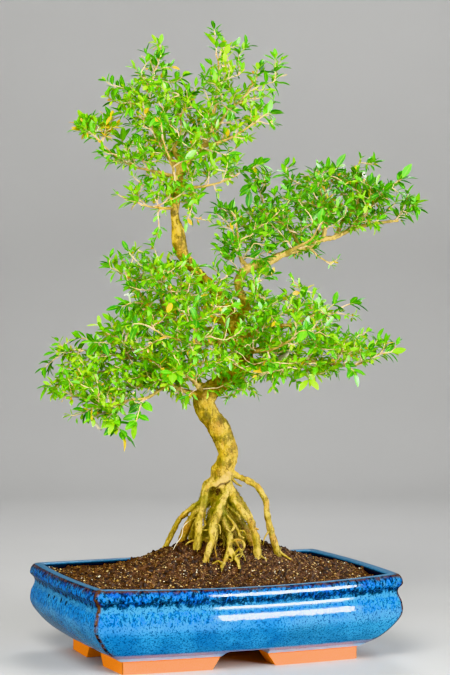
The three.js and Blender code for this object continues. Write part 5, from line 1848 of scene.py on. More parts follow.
    def fine_mat(self) -> list[np.ndarray]:
        """Grows the fine fibres that fill the cone between the roots.

        Returns:
            Their points and radii.
        """
        lines = []
        for _ in range(self.fibres):
            angle, high = self.draw.uniform(-math.pi, math.pi), self.draw.uniform(108, 166)
            reach = math.sqrt(self.draw.random()) * (7 + 0.34 * (168 - high))
            place = np.array((9 + reach * math.cos(angle), -5 + 0.8 * reach * math.sin(angle), high))
            heading = np.array((0.6 * math.cos(angle), 0.6 * math.sin(angle), -1.0))
            size, steps = self.draw.uniform(0.3, 0.6), int(self.draw.integers(5, 10))
            lines.append(self.wander(place, heading, size, steps, 3.2, 0.12))
        return lines

    def stout_curls(self) -> list[np.ndarray]:
        """Grows the stout crooked rootlets that branch off the front roots.

        Returns:
            Their points and radii.
        """
        lines = []
        for _ in range(self.curls):
            root = self.root_line(ROOTS[int(self.draw.choice(self.curled_roots))])
            start = root[int(len(root) * self.draw.uniform(0.45, 0.8)), :3]
            angle = self.draw.uniform(-math.pi, 0.6)
            heading = np.array((math.cos(angle), math.sin(angle), self.draw.uniform(-0.5, 0.4)))
            size, steps = self.draw.uniform(0.85, 1.5), int(self.draw.integers(6, 11))
            lines.append(self.wander(start, heading, size, steps, 2.6, 0.3))
        return lines

    def soil_toes(self) -> list[np.ndarray]:
        """Grows a side root that creeps away over the soil from the foot of some of the roots.

        Returns:
            The side roots' points and radii.
        """
        lines = []
        for root in ROOTS[:self.outer_roots]:
            start = [row for row in self.root_line(root) if row[2] > self.ground(row[:3]) + 3][-1]
            if self.draw.random() > self.toe_share:
                continue
            angle = math.atan2(start[1], start[0] - 8) + self.draw.normal(0, 0.8)
            place, rows = start[:3], []
            size = start[3] * self.draw.uniform(0.2, 0.36)
            steps = int(self.draw.integers(5, 10))
            for step in range(steps):
                rows.append((*place, size * (1.1 - 0.75 * step / steps)))
                angle += self.draw.normal(0, 0.35)
                place = place + np.array((math.cos(angle), math.sin(angle), 0.0)) * 2.2
                lift = self.ground(place) + 1.0 - 3.2 * (step / steps) ** 2 + self.draw.uniform(-0.4, 0.6)
                place[2] = 0.5 * place[2] + 0.5 * lift
            lines.append(np.array(rows))
        return lines

    def root_hairs(self, material: Material) -> Object:
        """Builds the rootlets: a fine mat, random curls, creeping toes and the crooked ones that show.

        Args:
            material: The bark.

        Returns:
            The piece.
        """
        rows = [*self.fine_mat(), *self.stout_curls(), *self.soil_toes(), *ROOTLETS]
        paths = [self.frame.tube(spline(row, 1.9)) for row in rows if len(row) > 2]
        return tubes_along("rootlets", paths, 5, material)

    def moss(self, core: Object) -> Object:
        """Scatters tufts of moss over the damp bark, with Geometry Nodes.

        Args:
            core: The wood, whose moss attribute says where it is damp.

        Returns:
            The moss as one mesh object.
        """
        points, faces = [], []
        for i, lean in enumerate((0.0, 2.1, 4.2)):
            base = len(points)
            middle = np.array((0.3 * math.cos(lean), 0.3 * math.sin(lean), -0.15))
            points += [middle + (0.22 * math.cos(lean + t), 0.22 * math.sin(lean + t), 0)
                       for t in (0, 2.09, 4.19)]
            points.append(middle * (2.6, 2.6, 1) + (0, 0, 1.1 - 0.2 * i))
            faces.append((base, base + 2, base + 1))
            faces += [(base + k, base + (k + 1) % 3, base + 3) for k in range(3)]
        tuft = make_object("moss_tuft", np.array(points), faces)
        tree = GeometryTree("moss_scatter", Tuft=tuft, Density=self.moss_tufts / (area_of(core) / 8),
                            Seed=self.seed, Material=MossFinish().material())
        damp = tree.add("ShaderNodeMapRange", {0: tree.read("moss", "FLOAT"), 1: 0.3, 2: 0.8}).outputs[0]
        spread = tree.scatter(tree.math("MULTIPLY", damp, tree.given["Density"])).outputs
        size = tree.random(0.7 * MM, 1.9 * MM, tree.given["Seed"])
        tufts = tree.instances(spread["Points"], tree.shape("Tuft"), spread["Rotation"], size)
        piece = tree.run(tufts, linked("moss_bed", core.data.copy()), "root_moss")
        remove(tuft)
        return piece

    def build(self) -> None:
        """Builds the wood's pieces."""
        bark = BarkFinish().material()
        core = self.core()
        ends = self.thin_limbs(bark)
        hairs = self.root_hairs(bark)
        for piece in (core, ends, hairs):
            self.masks(piece)
        moss = self.moss(core)
        dress(core, Slot.BARK, "wood", material=bark)
        dress(ends, Slot.BARK, "wood")
        dress(hairs, Slot.BARK)
        dress(moss, Slot.BARK)


@dataclass
class Leaves:
    """Collects the places of leaves, which Geometry Nodes then fill with one of a few blades."""

    frame: TreeFrame
    rows: list[tuple[np.ndarray, Point, Point, float, int]] = field(default_factory=list)

    def add(self, base: np.ndarray, direction: np.ndarray, facing: np.ndarray, size: float, width: float,
            tint: float, kind: int) -> None:
        """Adds one leaf.

        Args:
            base: Where its stalk begins, in the tree's frame.
            direction: The way it points.
            facing: The way its upper side looks.
            size: Its length in millimetres.
            width: Its width against a plain leaf's.
            tint: Its shade, from deep green at 0 to yellow at 1.
            kind: Which blade it has.
        """
        y = direction / np.linalg.norm(direction)
        z = facing - y * (facing @ y)
        if np.linalg.norm(z) < 0.05:
            z = np.cross(y, (0.3, 1.0, 0.2))
        z = z / np.linalg.norm(z)
        axes = self.frame.aim(np.stack([np.cross(y, z), y, z]))
        turn = Matrix([tuple(row) for row in axes]).transposed().to_euler("XYZ")
        stretch = (size * width * MM, size * MM, size * MM)
        self.rows.append((self.frame.place(base), tuple(turn), stretch, tint, kind))

    def build(self, name: str, span: Span, blades: list[Object], material: Material) -> Object:
        """Sets a blade at each place.

        Args:
            name: The piece's name.
            span: The part of X, in metres, whose leaves it takes.
            blades: The blades to pick from.
            material: The leaves' material.

        Returns:
            All the leaves as one mesh object.
        """
        kept = [row for row in self.rows if span[0] <= row[0][0] < span[1]]
        places, turns, stretches, tints, kinds = (np.array(column) for column in zip(*kept))
        seeds = make_object(name + "_places", places, [], attributes={
            "turn": turns, "stretch": stretches, "tint": tints, "kind": kinds})
        tree = GeometryTree(name + "_leaves", Material=material, **{blade.name: blade for blade in blades})
        choices = tree.add("GeometryNodeJoinGeometry")
        for blade in reversed(blades):
            choice = tree.add("GeometryNodeGeometryToInstance", {0: tree.shape(blade.name)}).outputs[0]
            tree.feed(choices, {0: choice})
        turn, stretch = tree.read("turn", "FLOAT_VECTOR"), tree.read("stretch", "FLOAT_VECTOR")
        leaves = tree.instances(tree.given["Geometry"], choices.outputs[0], tree.rotation(turn), stretch,
                                Pick_Instance=True, Instance_Index=tree.read("kind", "FLOAT"))
        return tree.run(leaves, seeds, name)


@dataclass(frozen=True)
class Blade:
    """One leaf blade of unit length along Y, upper side to +Z, closed all round."""

    name: str
    half_width: float = 0.2
    fold: float = 0.28
    droop: float = 0.1
    twist: float = 0.0
    thickness: float = 0.012
    outline: tuple[Span, ...] = (
        (0.0, 0.0), (0.07, 0.1), (0.22, 0.66), (0.44, 1.0), (0.66, 0.93), (0.86, 0.5), (1.0, 0.0))

    def build(self) -> Object:
        """Builds the blade as a closed skin with a folded midrib.

        Returns:
            The blade, to be instanced.
        """
        points, across, faces = [], [], []
        for along, share in self.outline:
            half, sink, roll = self.half_width * share, -self.droop * along * along, self.twist * along
            ribs = [(0.0, sink)] if share == 0 else [
                (-half, sink + self.fold * half), (0.0, sink + self.thickness),
                (half, sink + self.fold * half), (0.0, sink - self.thickness)]
            for x, z in ribs:
                points.append((x * math.cos(roll) - (z - sink) * math.sin(roll), along,
                               sink + (z - sink) * math.cos(roll) + x * math.sin(roll)))
                across.append(x / self.half_width)
        last = len(points) - 1
        for i in range(4):
            j = (i + 1) % 4
            faces.append((0, 1 + j, 1 + i))
            faces += [(start + i, start + j, start + j + 4, start + i + 4) for start in range(1, last - 4, 4)]
            faces.append((last - 4 + i, last - 4 + j, last))
        blade = make_object(self.name, np.array(points), faces, attributes={"across": np.array(across)})
        blade.data.set_sharp_from_angle(angle=math.radians(75))
        return blade


@dataclass(frozen=True)
class Cloud:
    """An egg-shaped mass of foliage in the tree's frame, in millimetres."""

    middle: Point
    reach: Point
    gap: float
    gold: float = 0.0

    def depth(self, places: np.ndarray) -> np.ndarray:
        """Gives how far inside the mass places lie, as a share of the way to its middle."""
        scaled = (places - np.array(self.middle)) / np.array(self.reach)
        return 1 - np.linalg.norm(scaled, axis=-1)


# Egg-shaped masses of foliage: middle, reach, the gap between twigs and, for some, a share of yellow
CLOUDS: dict[str, list[tuple[float, ...]]] = {
    "crown": [
        (-62, 2, 555, 34, 34, 34, 14), (-60, 2, 591, 13, 16, 15, 13), (-26, 4, 530, 38, 44, 36, 14.5),
        (6, 2, 556, 20, 26, 44, 14.5), (42, 4, 560, 22, 26, 30, 18), (19, 0, 597, 15, 16, 18, 12.5),
        (-26, -6, 564, 12, 12, 8, 11), (64, 2, 592, 8, 10, 8, 10), (42, 0, 545, 9, 10, 9, 10),
        (25, 0, 521, 14, 12, 8, 11), (28, -4, 528, 15, 16, 14, 13), (2, -6, 494, 24, 26, 13, 13.5),
        (-66, -2, 507, 28, 30, 15, 14), (-101, -4, 500, 13, 12, 7, 11), (-126, -4, 534, 10, 10, 9, 7, 0.1),
        (-105, 0, 533, 9, 10, 9, 7, 0.32), (-30, -2, 462, 22, 30, 14, 14), (-38, -14, 468, 18, 10, 15, 11),
        (-58, -8, 472, 16, 16, 19, 12), (-77, -8, 468, 8, 12, 7, 10), (-17, -10, 486, 12, 10, 9, 10),
        (-27, -9, 436, 6, 8, 8, 8, 0.1),
    ],
    "pad": [
        (120, 0, 464, 52, 46, 28, 13.5), (70, 0, 442, 34, 40, 26, 14), (46, -2, 432, 28, 34, 26, 13),
        (18, -4, 410, 11, 18, 16, 12), (9, -6, 442, 8, 10, 14, 10), (49, -4, 479, 11, 12, 7, 11),
        (85, 0, 418, 24, 26, 14, 13), (42, -4, 405, 18, 18, 8, 12), (142, -4, 438, 38, 20, 8, 12),
        (170, -4, 463, 18, 26, 14, 14), (195, -4, 450, 11, 12, 8, 12),
    ],
    "low": [
        (-46, -6, 372, 40, 42, 30, 13.5), (-74, -6, 389, 26, 24, 13, 13), (-60, 0, 322, 38, 60, 34, 15),
        (-112, -6, 284, 44, 46, 23, 14), (-150, -4, 305, 12, 12, 7, 11), (-144, -12, 270, 22, 20, 10, 12),
        (-102, -20, 260, 30, 34, 13, 13.5), (-107, -24, 244, 16, 16, 8, 11), (-50, -8, 284, 28, 30, 14, 12),
        (-28, -10, 262, 10, 12, 7, 11), (-8, 0, 336, 80, 76, 42, 16), (4, -8, 382, 12, 14, 8, 12),
        (40, -8, 378, 16, 18, 9, 12), (78, 0, 332, 50, 60, 32, 15), (130, -6, 313, 36, 38, 12, 13),
        (150, -8, 303, 16, 14, 6, 12), (172, -6, 314, 12, 13, 8, 12), (78, -12, 298, 34, 40, 14, 14.5),
        (106, -8, 292, 22, 18, 10, 12), (24, -12, 272, 16, 14, 6, 10), (-74, -8, 273, 16, 12, 6, 10),
        (-106, -6, 329, 9, 12, 10, 10), (52, -14, 288, 38, 30, 8, 12), (46, -4, 364, 12, 14, 8, 11),
        (-12, -18, 302, 48, 60, 24, 16),
    ],
}

# Single shoots that stand out of the masses: where each ends and the length of its leaves, 0 for a bare one
SHOOTS: dict[str, list[Knot]] = {
    "crown": [
        (33, -6, 612, 14), (12, 4, 612, 11), (68, 2, 598, 13), (74, -4, 584, 0), (60, -10, 556, 9),
        (60, -14, 534, 10), (46, -16, 493, 16), (20, -14, 486, 7), (4, -12, 466, 11), (-4, -14, 438, 9),
        (-107, -6, 577, 14), (-98, -4, 566, 12), (-105, 0, 562, 12), (-72, -2, 603, 0), (-53, 0, 614, 12),
        (-31, 0, 582, 13), (-18, 4, 572, 10), (-96, -8, 464, 9), (-80, -10, 482, 8), (-54, -12, 448, 10),
        (-54, -8, 430, 13), (-58, -6, 420, 9), (-110, -6, 502, 13), (-8, 0, 580, 12), (-78, 0, 590, 10),
        (-42, -24, 590, 11), (1, -4, 629, 13), (-57, 2, 616, 12),
    ],
    "pad": [
        (37, -4, 469, 17), (42, 4, 482, 0), (73, -6, 492, 16), (105, -4, 492, 9), (112, 6, 491, 9),
        (120, -8, 489, 9), (126, 2, 487, 9), (131, -4, 485, 9), (148, 0, 500, 9), (144, 6, 490, 0),
        (160, -6, 494, 13), (160, -8, 496, 12), (196, -6, 466, 12), (185, -14, 466, 11), (203, -2, 454, 16),
        (196, -8, 446, 12), (163, -8, 430, 10), (87, -6, 402, 6), (105, -4, 402, 7), (2, -8, 412, 9),
        (20, -6, 449, 10), (6, -10, 420, 9), (125, -4, 399, 6), (119, -5, 393, 6), (80, -6, 494, 11),
    ],
    "low": [
        (-156, -4, 316, 10), (-146, 0, 316, 9), (-170, -2, 290, 15), (-166, -8, 272, 15), (-160, -8, 264, 12),
        (-152, -14, 256, 0), (-142, -22, 243, 10), (-90, -40, 227, 19), (-98, -40, 238, 16),
        (-96, -36, 232, 16), (-62, -22, 272, 10), (-34, -2, 264, 9), (-24, 4, 260, 8), (22, -4, 262, 8),
        (44, -8, 263, 8), (12, -8, 262, 9), (60, -10, 272, 9), (84, -10, 276, 10), (102, 4, 366, 10),
        (87, -6, 370, 10), (60, -4, 384, 13), (46, 0, 388, 14), (144, -4, 342, 9), (156, 2, 326, 10),
        (168, -10, 314, 13), (184, -6, 312, 14), (176, 6, 316, 12), (160, -14, 298, 11), (-28, 0, 396, 12),
        (-60, -8, 412, 12), (-78, -6, 408, 12), (-70, -6, 406, 10), (-40, -6, 404, 12), (-103, -14, 400, 13),
        (-15, -12, 392, 12), (1, -14, 391, 16), (17, -12, 386, 16), (50, -10, 390, 16), (78, -12, 381, 11),
    ],
}


@dataclass(frozen=True)
class Goal:
    """A place that a twig grows to, its depth under the skin of the foliage, and what it bears."""

    place: np.ndarray
    under: float
    gold: float = 0.0
    size: float | None = None


@dataclass
class Twig:
    """A twig of the branching network: its path, the twig it grows from and what it bears."""

    path: np.ndarray
    parent: int
    size: float
    gold: float = 0.0
    load: int = 1


@dataclass
class Foliage:
    """Twigs and leaves of every spray, grown by rule round the same stems as the model's."""

    frame: TreeFrame
    seed: int = 21
    stem_radius: Span = (0.95, 0.5)
    twig_radius: float = 0.44
    load_radius: float = 0.17
    thickest: float = 1.5
    inner_leaf: float = 9.0
    outer_leaf: float = 12.5
    stem_leaf: float = 17.0
    shoot_leaf: Span = (12.5, 17.0)
    shoot_share: float = 0.06
    shoot_reach: Span = (3.0, 12.0)
    strong_leaf: float = 12.6
    strong_reach: float = 26.0
    strong_step: Span = (5.0, 8.0)
    tuft_step: Span = (5.2, 8.0)
    tuft_share: float = 0.74
    tuft_leaf: Span = (5.8, 10.4)
    tuft_stalk: Span = (1.2, 3.0)
    scale_share: float = 0.4
    scale_leaf: Span = (3.0, 5.5)
    blade_from: Span = (13.5, 9.2)
    lost_share: float = 0.08
    gold_share: float = 0.02
    bows: tuple[Span, ...] = (
        (0.1, 0), (0, 0), (0.18, 0.1), (0.18, -0.1), (-0.12, 0), (0.1, 0.25), (0.1, -0.25))
    end_leaf: float = 21.0
    # How much darker each region's leaves are laid: painted shade, strongest on the pad.
    region_shade: tuple[tuple[str, float], ...] = (("crown", -0.05), ("pad", -0.24), ("low", -0.03))
    regions: dict[str, tuple[str, ...]] = field(default_factory=lambda: {
        "crown": ("crown",), "pad": ("right",), "low": ("low", "mid", "up", "back", "front")})
    skin: float = 16.0
    shortest: float = 13.0
    shortest_shoot: float = 6.0
    clear_trunk: float = 15.0
    clear_below: float = 448.0
    stems: dict[str, np.ndarray] = field(default_factory=dict)

    def __post_init__(self) -> None:
        """Starts the stream of draws and the leaves."""
        self.draw = np.random.default_rng(self.seed)
        self.low, self.high = (np.array(corner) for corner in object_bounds())
        self.shift = self.gold = 0.0
        self.leaves = Leaves(self.frame)

    def stem(self, row: tuple[str, float, Point], node: str) -> np.ndarray:
        """Draws a spray's stem, bowed the way that the model's spray is.

        Args:
            row: The limb it grows from, how far along, and its reach.
            node: The model's node, whose box picks the bow.

        Returns:
            The stem's points and radii in the tree's frame.
        """
        limb, share, reach = row
        line = spline(limb_path(limb), 1.0)
        start = line[int(min(share, 0.985) * (len(line) - 1)), :3]
        heading = np.array(reach, float) - start
        heading /= np.linalg.norm(heading)
        tip = np.array(reach, float) - heading * 0.85 * self.end_leaf
        aside = np.cross(heading, (0, 0, 1))
        aside /= np.linalg.norm(aside)
        low, high = (np.array(corner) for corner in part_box(node))
        shares = np.array((0, 0.33, 0.68, 1.0))
        bow = np.sin(np.pi * shares)[:, None] * np.linalg.norm(tip - start)
        best, least = None, math.inf
        for lift, swing in self.bows:
            knots = start + shares[:, None] * (tip - start)
            knots = knots + bow * lift * np.array((0, 0, 1)) + bow * swing * aside
            path = spline(np.column_stack([knots, np.linspace(*self.stem_radius, 4)]), 4.0)
            placed = self.frame.place(path[:, :3])
            outside = np.maximum(low - placed, 0) + np.maximum(placed - high, 0)
            miss = float(np.linalg.norm(outside, axis=1).sum())
            if miss < least - 1e-6:
                best, least = path, miss
        return best

    def goals(self, clouds: list[Cloud]) -> list[Goal]:
        """Spreads the places that twigs grow to, thinner inside a mass than at its skin.

        Args:
            clouds: The masses of foliage.

        Returns:
            The places.
        """
        found = np.zeros((0, 3))
        rows = []
        trunk = spline(TRUNK, 6.0)[:, :3]
        trunk = trunk[trunk[:, 2] < self.clear_below]
        for cloud in clouds:
            reach = np.array(cloud.reach)
            count = int(4.19 * reach.prod() / cloud.gap ** 3 * 3)
            ball = self.draw.normal(size=(count, 3))
            ball /= np.linalg.norm(ball, axis=1)[:, None]
            ball *= self.draw.random((count, 1)) ** 0.34
            for place in np.array(cloud.middle) + ball * reach:
                under = max(float(other.depth(place)) * min(other.reach) for other in clouds)
                space = cloud.gap * (0.8 + 0.5 * min(1.0, max(0.0, under - 6) / 24))
                if len(found) and np.min(np.linalg.norm(found - place, axis=1)) < space * 0.82:
                    continue
                if np.min(np.linalg.norm(trunk - place, axis=1)) < self.clear_trunk:
                    continue
                spot = self.frame.place(place)
                if np.any(spot < self.low - 2 * MM) or np.any(spot > self.high + 2 * MM):
                    continue
                found = np.vstack([found, place])
                rows.append(Goal(place, under, cloud.gold))
        return rows

    def network(self, region: str, limbs: list[np.ndarray], stems: list[np.ndarray]) -> list[Twig]:
        """Grows a branching network of twigs out of limbs and stems to fill the masses.

        Args:
            region: The part of the tree.
            limbs: Its limbs.
            stems: The stems of its sprays.

        Returns:
            The twigs, with their stems first.
        """
        twigs = [Twig(stem, -1, self.stem_leaf) for stem in stems]
        bearers = [(-1, limb[len(limb) // 5:, :3]) for limb in limbs]
        bearers += [(owner, stem[:, :3]) for owner, stem in enumerate(stems)]
        places = np.vstack([line for _, line in bearers])
        ways = np.vstack([ways_of(line) for _, line in bearers])
        owners = np.concatenate([np.full(len(line), owner) for owner, line in bearers])
        waiting = self.goals([Cloud(row[:3], row[3:6], *row[6:]) for row in CLOUDS[region]])
        nearest = [float(np.min(np.linalg.norm(places - goal.place, axis=1))) for goal in waiting]
        ordered = [waiting[int(k)] for k in np.argsort(nearest, kind="stable")]
        ordered += [Goal(np.array(row[:3], float), 0.0, size=row[3]) for row in SHOOTS[region]]
        for goal in ordered:
            place, size = goal.place, goal.size
            gaps = place - places
            far = np.linalg.norm(gaps, axis=1)
            turn = 1 - (gaps * ways).sum(axis=1) / np.maximum(far, 1e-6)
            shortest = self.shortest if size is None else self.shortest_shoot
            cost = far * (1 + 0.35 * turn) + 0.3 * np.maximum(-gaps[:, 2], 0) + 60 * (far < shortest)
            i = int(np.argmin(cost))
            if size is None:
                size = self.leaf_size(goal.under)
                if goal.under < self.skin / 2 and self.draw.random() < self.shoot_share:
                    size = self.draw.uniform(*self.shoot_leaf)
                    place = place + gaps[i] / max(far[i], 1e-6) * self.draw.uniform(*self.shoot_reach)
            path = self.reach_out(places[i], ways[i], place)
            twigs.append(Twig(path, int(owners[i]), size, goal.gold))
            places = np.vstack([places, path[2:, :3]])
            ways = np.vstack([ways, ways_of(path[:, :3])[2:]])
            owners = np.concatenate([owners, np.full(len(path) - 2, len(twigs) - 1)])
        for twig in reversed(twigs):
            if twig.parent >= 0:
                twigs[twig.parent].load += twig.load
        return twigs

    def piece_spans(self, region: str) -> dict[str, Span]:
        """Gives how a region's leaves are shared out along X, so that no piece has too many faces.

        Args:
            region: The part of the tree.

        Returns:
            The span of each piece in metres, by the end of its name.
        """
        if region != "low":
            return {"": (-1.0, 1.0)}
        middle = self.frame.middle.x
        return {"_left": (-1.0, middle), "_right": (middle, 1.0)}

    def leaf_size(self, under: float) -> float:
        """Gives the length of the largest leaves of a twig that ends at a depth under the skin."""
        return self.inner_leaf + (self.outer_leaf - self.inner_leaf) * math.exp(-max(under, 0.0) / self.skin)

    def reach_out(self, start: np.ndarray, way: np.ndarray, end: np.ndarray) -> np.ndarray:
        """Draws a twig that leaves along its bearer and turns towards its end.

        Args:
            start: Where it leaves.
            way: The way its bearer runs.
            end: Where it ends.

        Returns:
            Its points; the radii come later.
        """
        span = end - start
        length = float(np.linalg.norm(span))
        leave = way * length * 0.55 + span * 0.35
        arrive = span * 0.8 + np.array((0, 0, 0.35)) * length
        steps = max(4, int(round(length / 5.0)))
        t = np.linspace(0, 1, steps + 1)[:, None]
        line = ((2 * t ** 3 - 3 * t ** 2 + 1) * start + (t ** 3 - 2 * t ** 2 + t) * leave
                + (3 * t ** 2 - 2 * t ** 3) * end + (t ** 3 - t ** 2) * arrive)
        line[1:-1] += self.draw.normal(0, 0.35, (steps - 1, 3))
        return np.column_stack([line, np.zeros(steps + 1)])

    def dress_twig(self, twig: Twig) -> None:
        """Sets leaves along a twig: pairs where it is young and strong, tufts elsewhere, a rosette last.

        Args:
            twig: The twig that bears them.
        """
        if not twig.size:
            return
        path, self.gold = twig.path, twig.gold
        frames = carried_frames(path[:, :3])
        run = run_of(path)
        length = run[-1]
        strong = twig.size > self.strong_leaf
        # The region's painted shade darkens the leaves' shades.
        shade = float(self.draw.normal(0.28 if strong else 0.50, 0.11)) + self.shift
        roll = self.draw.uniform(0, math.pi)
        self.rosette(path[-1, :3], tuple(rows[-1] for rows in frames), roll, twig.size, shade)
        step = self.strong_step if strong else self.tuft_step
        at, k = length - self.draw.uniform(*step), 1
        while at > length * 0.12:
            i = min(int(np.searchsorted(run, at)), len(path) - 1)
            along, side, other = axes = tuple(rows[i] for rows in frames)
            base = path[i, :3] + (at - run[i]) * along
            turn = roll + k * math.pi / 2
            young = strong and length - at < self.strong_reach
            if young:
                grown = twig.size * (1.0 - 0.05 * min(k, 5))
                self.whorl(base, axes, turn, self.draw.uniform(0.8, 1.2), grown, shade)
            for half in (0, 1):
                if self.draw.random() < (0.3 if young else self.tuft_share):
                    angle = turn + half * math.pi + self.draw.normal(0, 0.25)
                    out = math.cos(angle) * side + math.sin(angle) * other
                    self.tuft(base, along * 0.5 + out * 0.87, shade + (0.16 if young else 0.04))
            at -= self.draw.uniform(*step)
            k += 1

    def rosette(self, tip: np.ndarray, axes: Axes, roll: float, size: float, shade: float) -> None:
        """Ends a twig with two pairs of leaves and a small bud pair.

        Args:
            tip: The twig's end.
            axes: Its direction and its two cross directions.
            roll: How far the first pair is turned round the twig.
            size: The length of the first pair, in millimetres.
            shade: The middle of their shades.
        """
        back = tip - self.draw.uniform(1.5, 3.0) * axes[0]
        self.whorl(tip, axes, roll, self.draw.uniform(0.4, 0.7), size, shade)
        self.whorl(back, axes, roll + math.pi / 2, self.draw.uniform(0.8, 1.15), 0.85 * size, shade)
        self.whorl(tip, axes, roll + math.pi / 2, 0.25, 0.45 * size, shade + 0.2)

    def tuft(self, base: np.ndarray, way: np.ndarray, shade: float) -> None:
        """Adds the tuft of small leaves that a very short side shoot bears.

        Args:
            base: Where the side shoot grows from.
            way: The way it points.
            shade: The middle of the leaves' shades.
        """
        way = way / np.linalg.norm(way)
        side = np.cross(way, (0.2, 0.1, 1.0))
        side = side / np.linalg.norm(side)
        axes = (way, side, np.cross(way, side))
        end = base + way * self.draw.uniform(*self.tuft_stalk)
        roll = self.draw.uniform(0, math.pi)
        self.whorl(end, axes, roll, self.draw.uniform(0.5, 0.95), self.draw.uniform(*self.tuft_leaf), shade)
        if self.draw.random() < self.scale_share:
            size, tilt = self.draw.uniform(*self.scale_leaf), self.draw.normal(0, 0.4, 3)
            self.leaves.add(end, way + tilt, side, size, 1.3, 1.0, 4 + int(self.draw.integers(0, 2)))
        if self.draw.random() < 0.5:
            spread, size = self.draw.uniform(0.2, 0.6), self.draw.uniform(*self.tuft_leaf) * 0.75
            self.whorl(end, axes, roll + 1.5, spread, size, shade + 0.12)

    def whorl(self, base: np.ndarray, axes: Axes, turn: float, spread: float, size: float,
              shade: float) -> None:
        """Adds a pair of opposite leaves.

        Args:
            base: Where they grow from.
            axes: The twig's direction and its two cross directions.
            turn: How far the pair is turned round the twig.
            spread: How far they lean from it, in radians.
            size: Their length in millimetres.
            shade: The middle of their shades.
        """
        along, side, other = axes
        for half in (0, 1):
            if self.draw.random() < self.lost_share:
                continue
            angle = turn + half * math.pi + self.draw.normal(0, 0.22)
            out = math.cos(angle) * side + math.sin(angle) * other
            direction = along * math.cos(spread) + out * math.sin(spread)
            direction = direction + np.array((0, 0, -0.04)) + self.draw.normal(0, 0.1, 3)
            facing = np.array((0, 0, 1.0)) + 0.8 * along + self.draw.normal(0, 0.32, 3)
            tint = float(np.clip(self.draw.normal(shade, 0.17), 0, 0.86))
            if self.draw.random() < self.gold_share + self.gold:
                tint = self.draw.uniform(0.93, 0.97)
            length = size * self.draw.uniform(0.8, 1.15)
            kind = int(self.draw.integers(0, 2)) + 2 * sum(length < limit for limit in self.blade_from)
            self.leaves.add(base, direction, facing, length, self.draw.uniform(0.85, 1.15), tint, kind)

    def blades(self) -> list[Object]:
        """Builds the blades: two of each kind, large, plain and tiny.

        Returns:
            The blades, in the order of their numbers.
        """
        plain = ((0.0, 0.0), (0.16, 0.45), (0.46, 1.0), (0.78, 0.72), (1.0, 0.0))
        tiny = ((0.0, 0.0), (0.3, 0.78), (0.68, 0.9), (1.0, 0.0))
        rows = ({"half_width": 0.21}, {"half_width": 0.18, "droop": 0.22, "twist": 0.4},
                {"outline": plain}, {"half_width": 0.17, "fold": 0.45, "outline": plain},
                {"outline": tiny}, {"half_width": 0.18, "fold": 0.45, "outline": tiny})
        return [Blade(f"blade_{i + 1}", **row).build() for i, row in enumerate(rows)]

    def build(self) -> None:
        """Builds twigs and leaves for each part of the tree."""
        blades, skin, bark = self.blades(), LeafFinish().material(), TwigFinish().material()
        for region, rows in SPRAYS.items():
            self.shift = dict(self.region_shade)[region]
            self.leaves = Leaves(self.frame)
            nodes = [f"spray_{region}_{i + 1:02d}" for i in range(len(rows))]
            stems = [self.stem(row, node) for row, node in zip(rows, nodes)]
            self.stems.update(zip(nodes, stems))
            names = [name for name in LIMBS if name.split("_")[0] in self.regions[region]]
            twigs = self.network(region, [spline(limb_path(name), 3.0) for name in names], stems)
            tubes = []
            for i, twig in enumerate(twigs):
                if i >= len(stems):
                    base = self.twig_radius + self.load_radius * math.sqrt(twig.load)
                    twig.path[:, 3] = np.linspace(min(base, self.thickest), self.twig_radius, len(twig.path))
                self.dress_twig(twig)
                tubes.append(self.frame.tube(twig.path))
            dress(tubes_along(f"twigs_{region}", tubes, 4, bark), Slot.BARK)
            LOG.info("%s: %d leaves on %d twigs", region, len(self.leaves.rows), len(twigs))
            for side, span in self.piece_spans(region).items():
                middles = {node: sum(corner.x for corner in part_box(node)) / 2 for node in nodes}
                inside = [node for node, middle in middles.items() if span[0] <= middle < span[1]]
                dress(self.leaves.build(f"leaves_{region}{side}", span, blades, skin), Slot.LEAF, *inside)
        remove(*blades)


@dataclass
class Flower:
    """A small white funnel with five lobed petals, where the model's flower stands on its stem."""

    node: str
    foot: np.ndarray
    tube: float = 9.0
    petals: int = 5
    steps: int = 8
    thickness: float = 0.25
    profile: tuple[Point, ...] = (
        (0.5, -9.0, 0.0), (0.75, -8.4, 0.0), (0.7, -5.5, 0.0), (0.8, -3.0, 0.0), (1.2, -0.8, 0.0),
        (2.3, 0.2, 0.35), (4.0, 0.7, 0.8), (5.5, 0.5, 1.0),
    )

    def build(self, material: Material) -> None:
        """Builds the flower on its stem.

        Args:
            material: The petals' material.
        """
        low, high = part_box(self.node)
        foot = Vector(self.foot)
        aim = ((low + high) / 2 - foot).normalized()
        mouth = foot + aim * self.tube * MM
        turn = aim.to_track_quat("Z", "Y").to_matrix()
        count = self.petals * self.steps
        rings, throat = [], []
        for radius, lift, lobe in self.profile:
            for i in range(count):
                angle, phase = i / count * 2 * math.pi, (i % self.steps) / self.steps
                notch = 0.42 * abs(2 * phase - 1) ** 3 + 0.06 * abs(math.sin(phase * 3 * math.pi))
                shape = 1 - lobe * notch
                place = Vector((math.cos(angle) * radius * shape, math.sin(angle) * radius * shape,
                                lift + 0.5 * lobe * math.cos(2 * math.pi * phase)))
                rings.append(mouth + turn @ place * MM)
                throat.append(max(1.0 - min(1.0, radius / 2.6), float(lift < -8)))
        faces = loft_faces(len(self.profile), count, closed=False)
        flower = make_object(self.node + "_petals", np.array(rings), faces, attributes={"throat": throat})
        flower.data.materials.append(material)
        wall = flower.modifiers.new("wall", "SOLIDIFY")
        wall.thickness, wall.offset = self.thickness * MM, 0
        dress(baked(flower, self.node + "_petals"), Slot.PETAL, self.node)


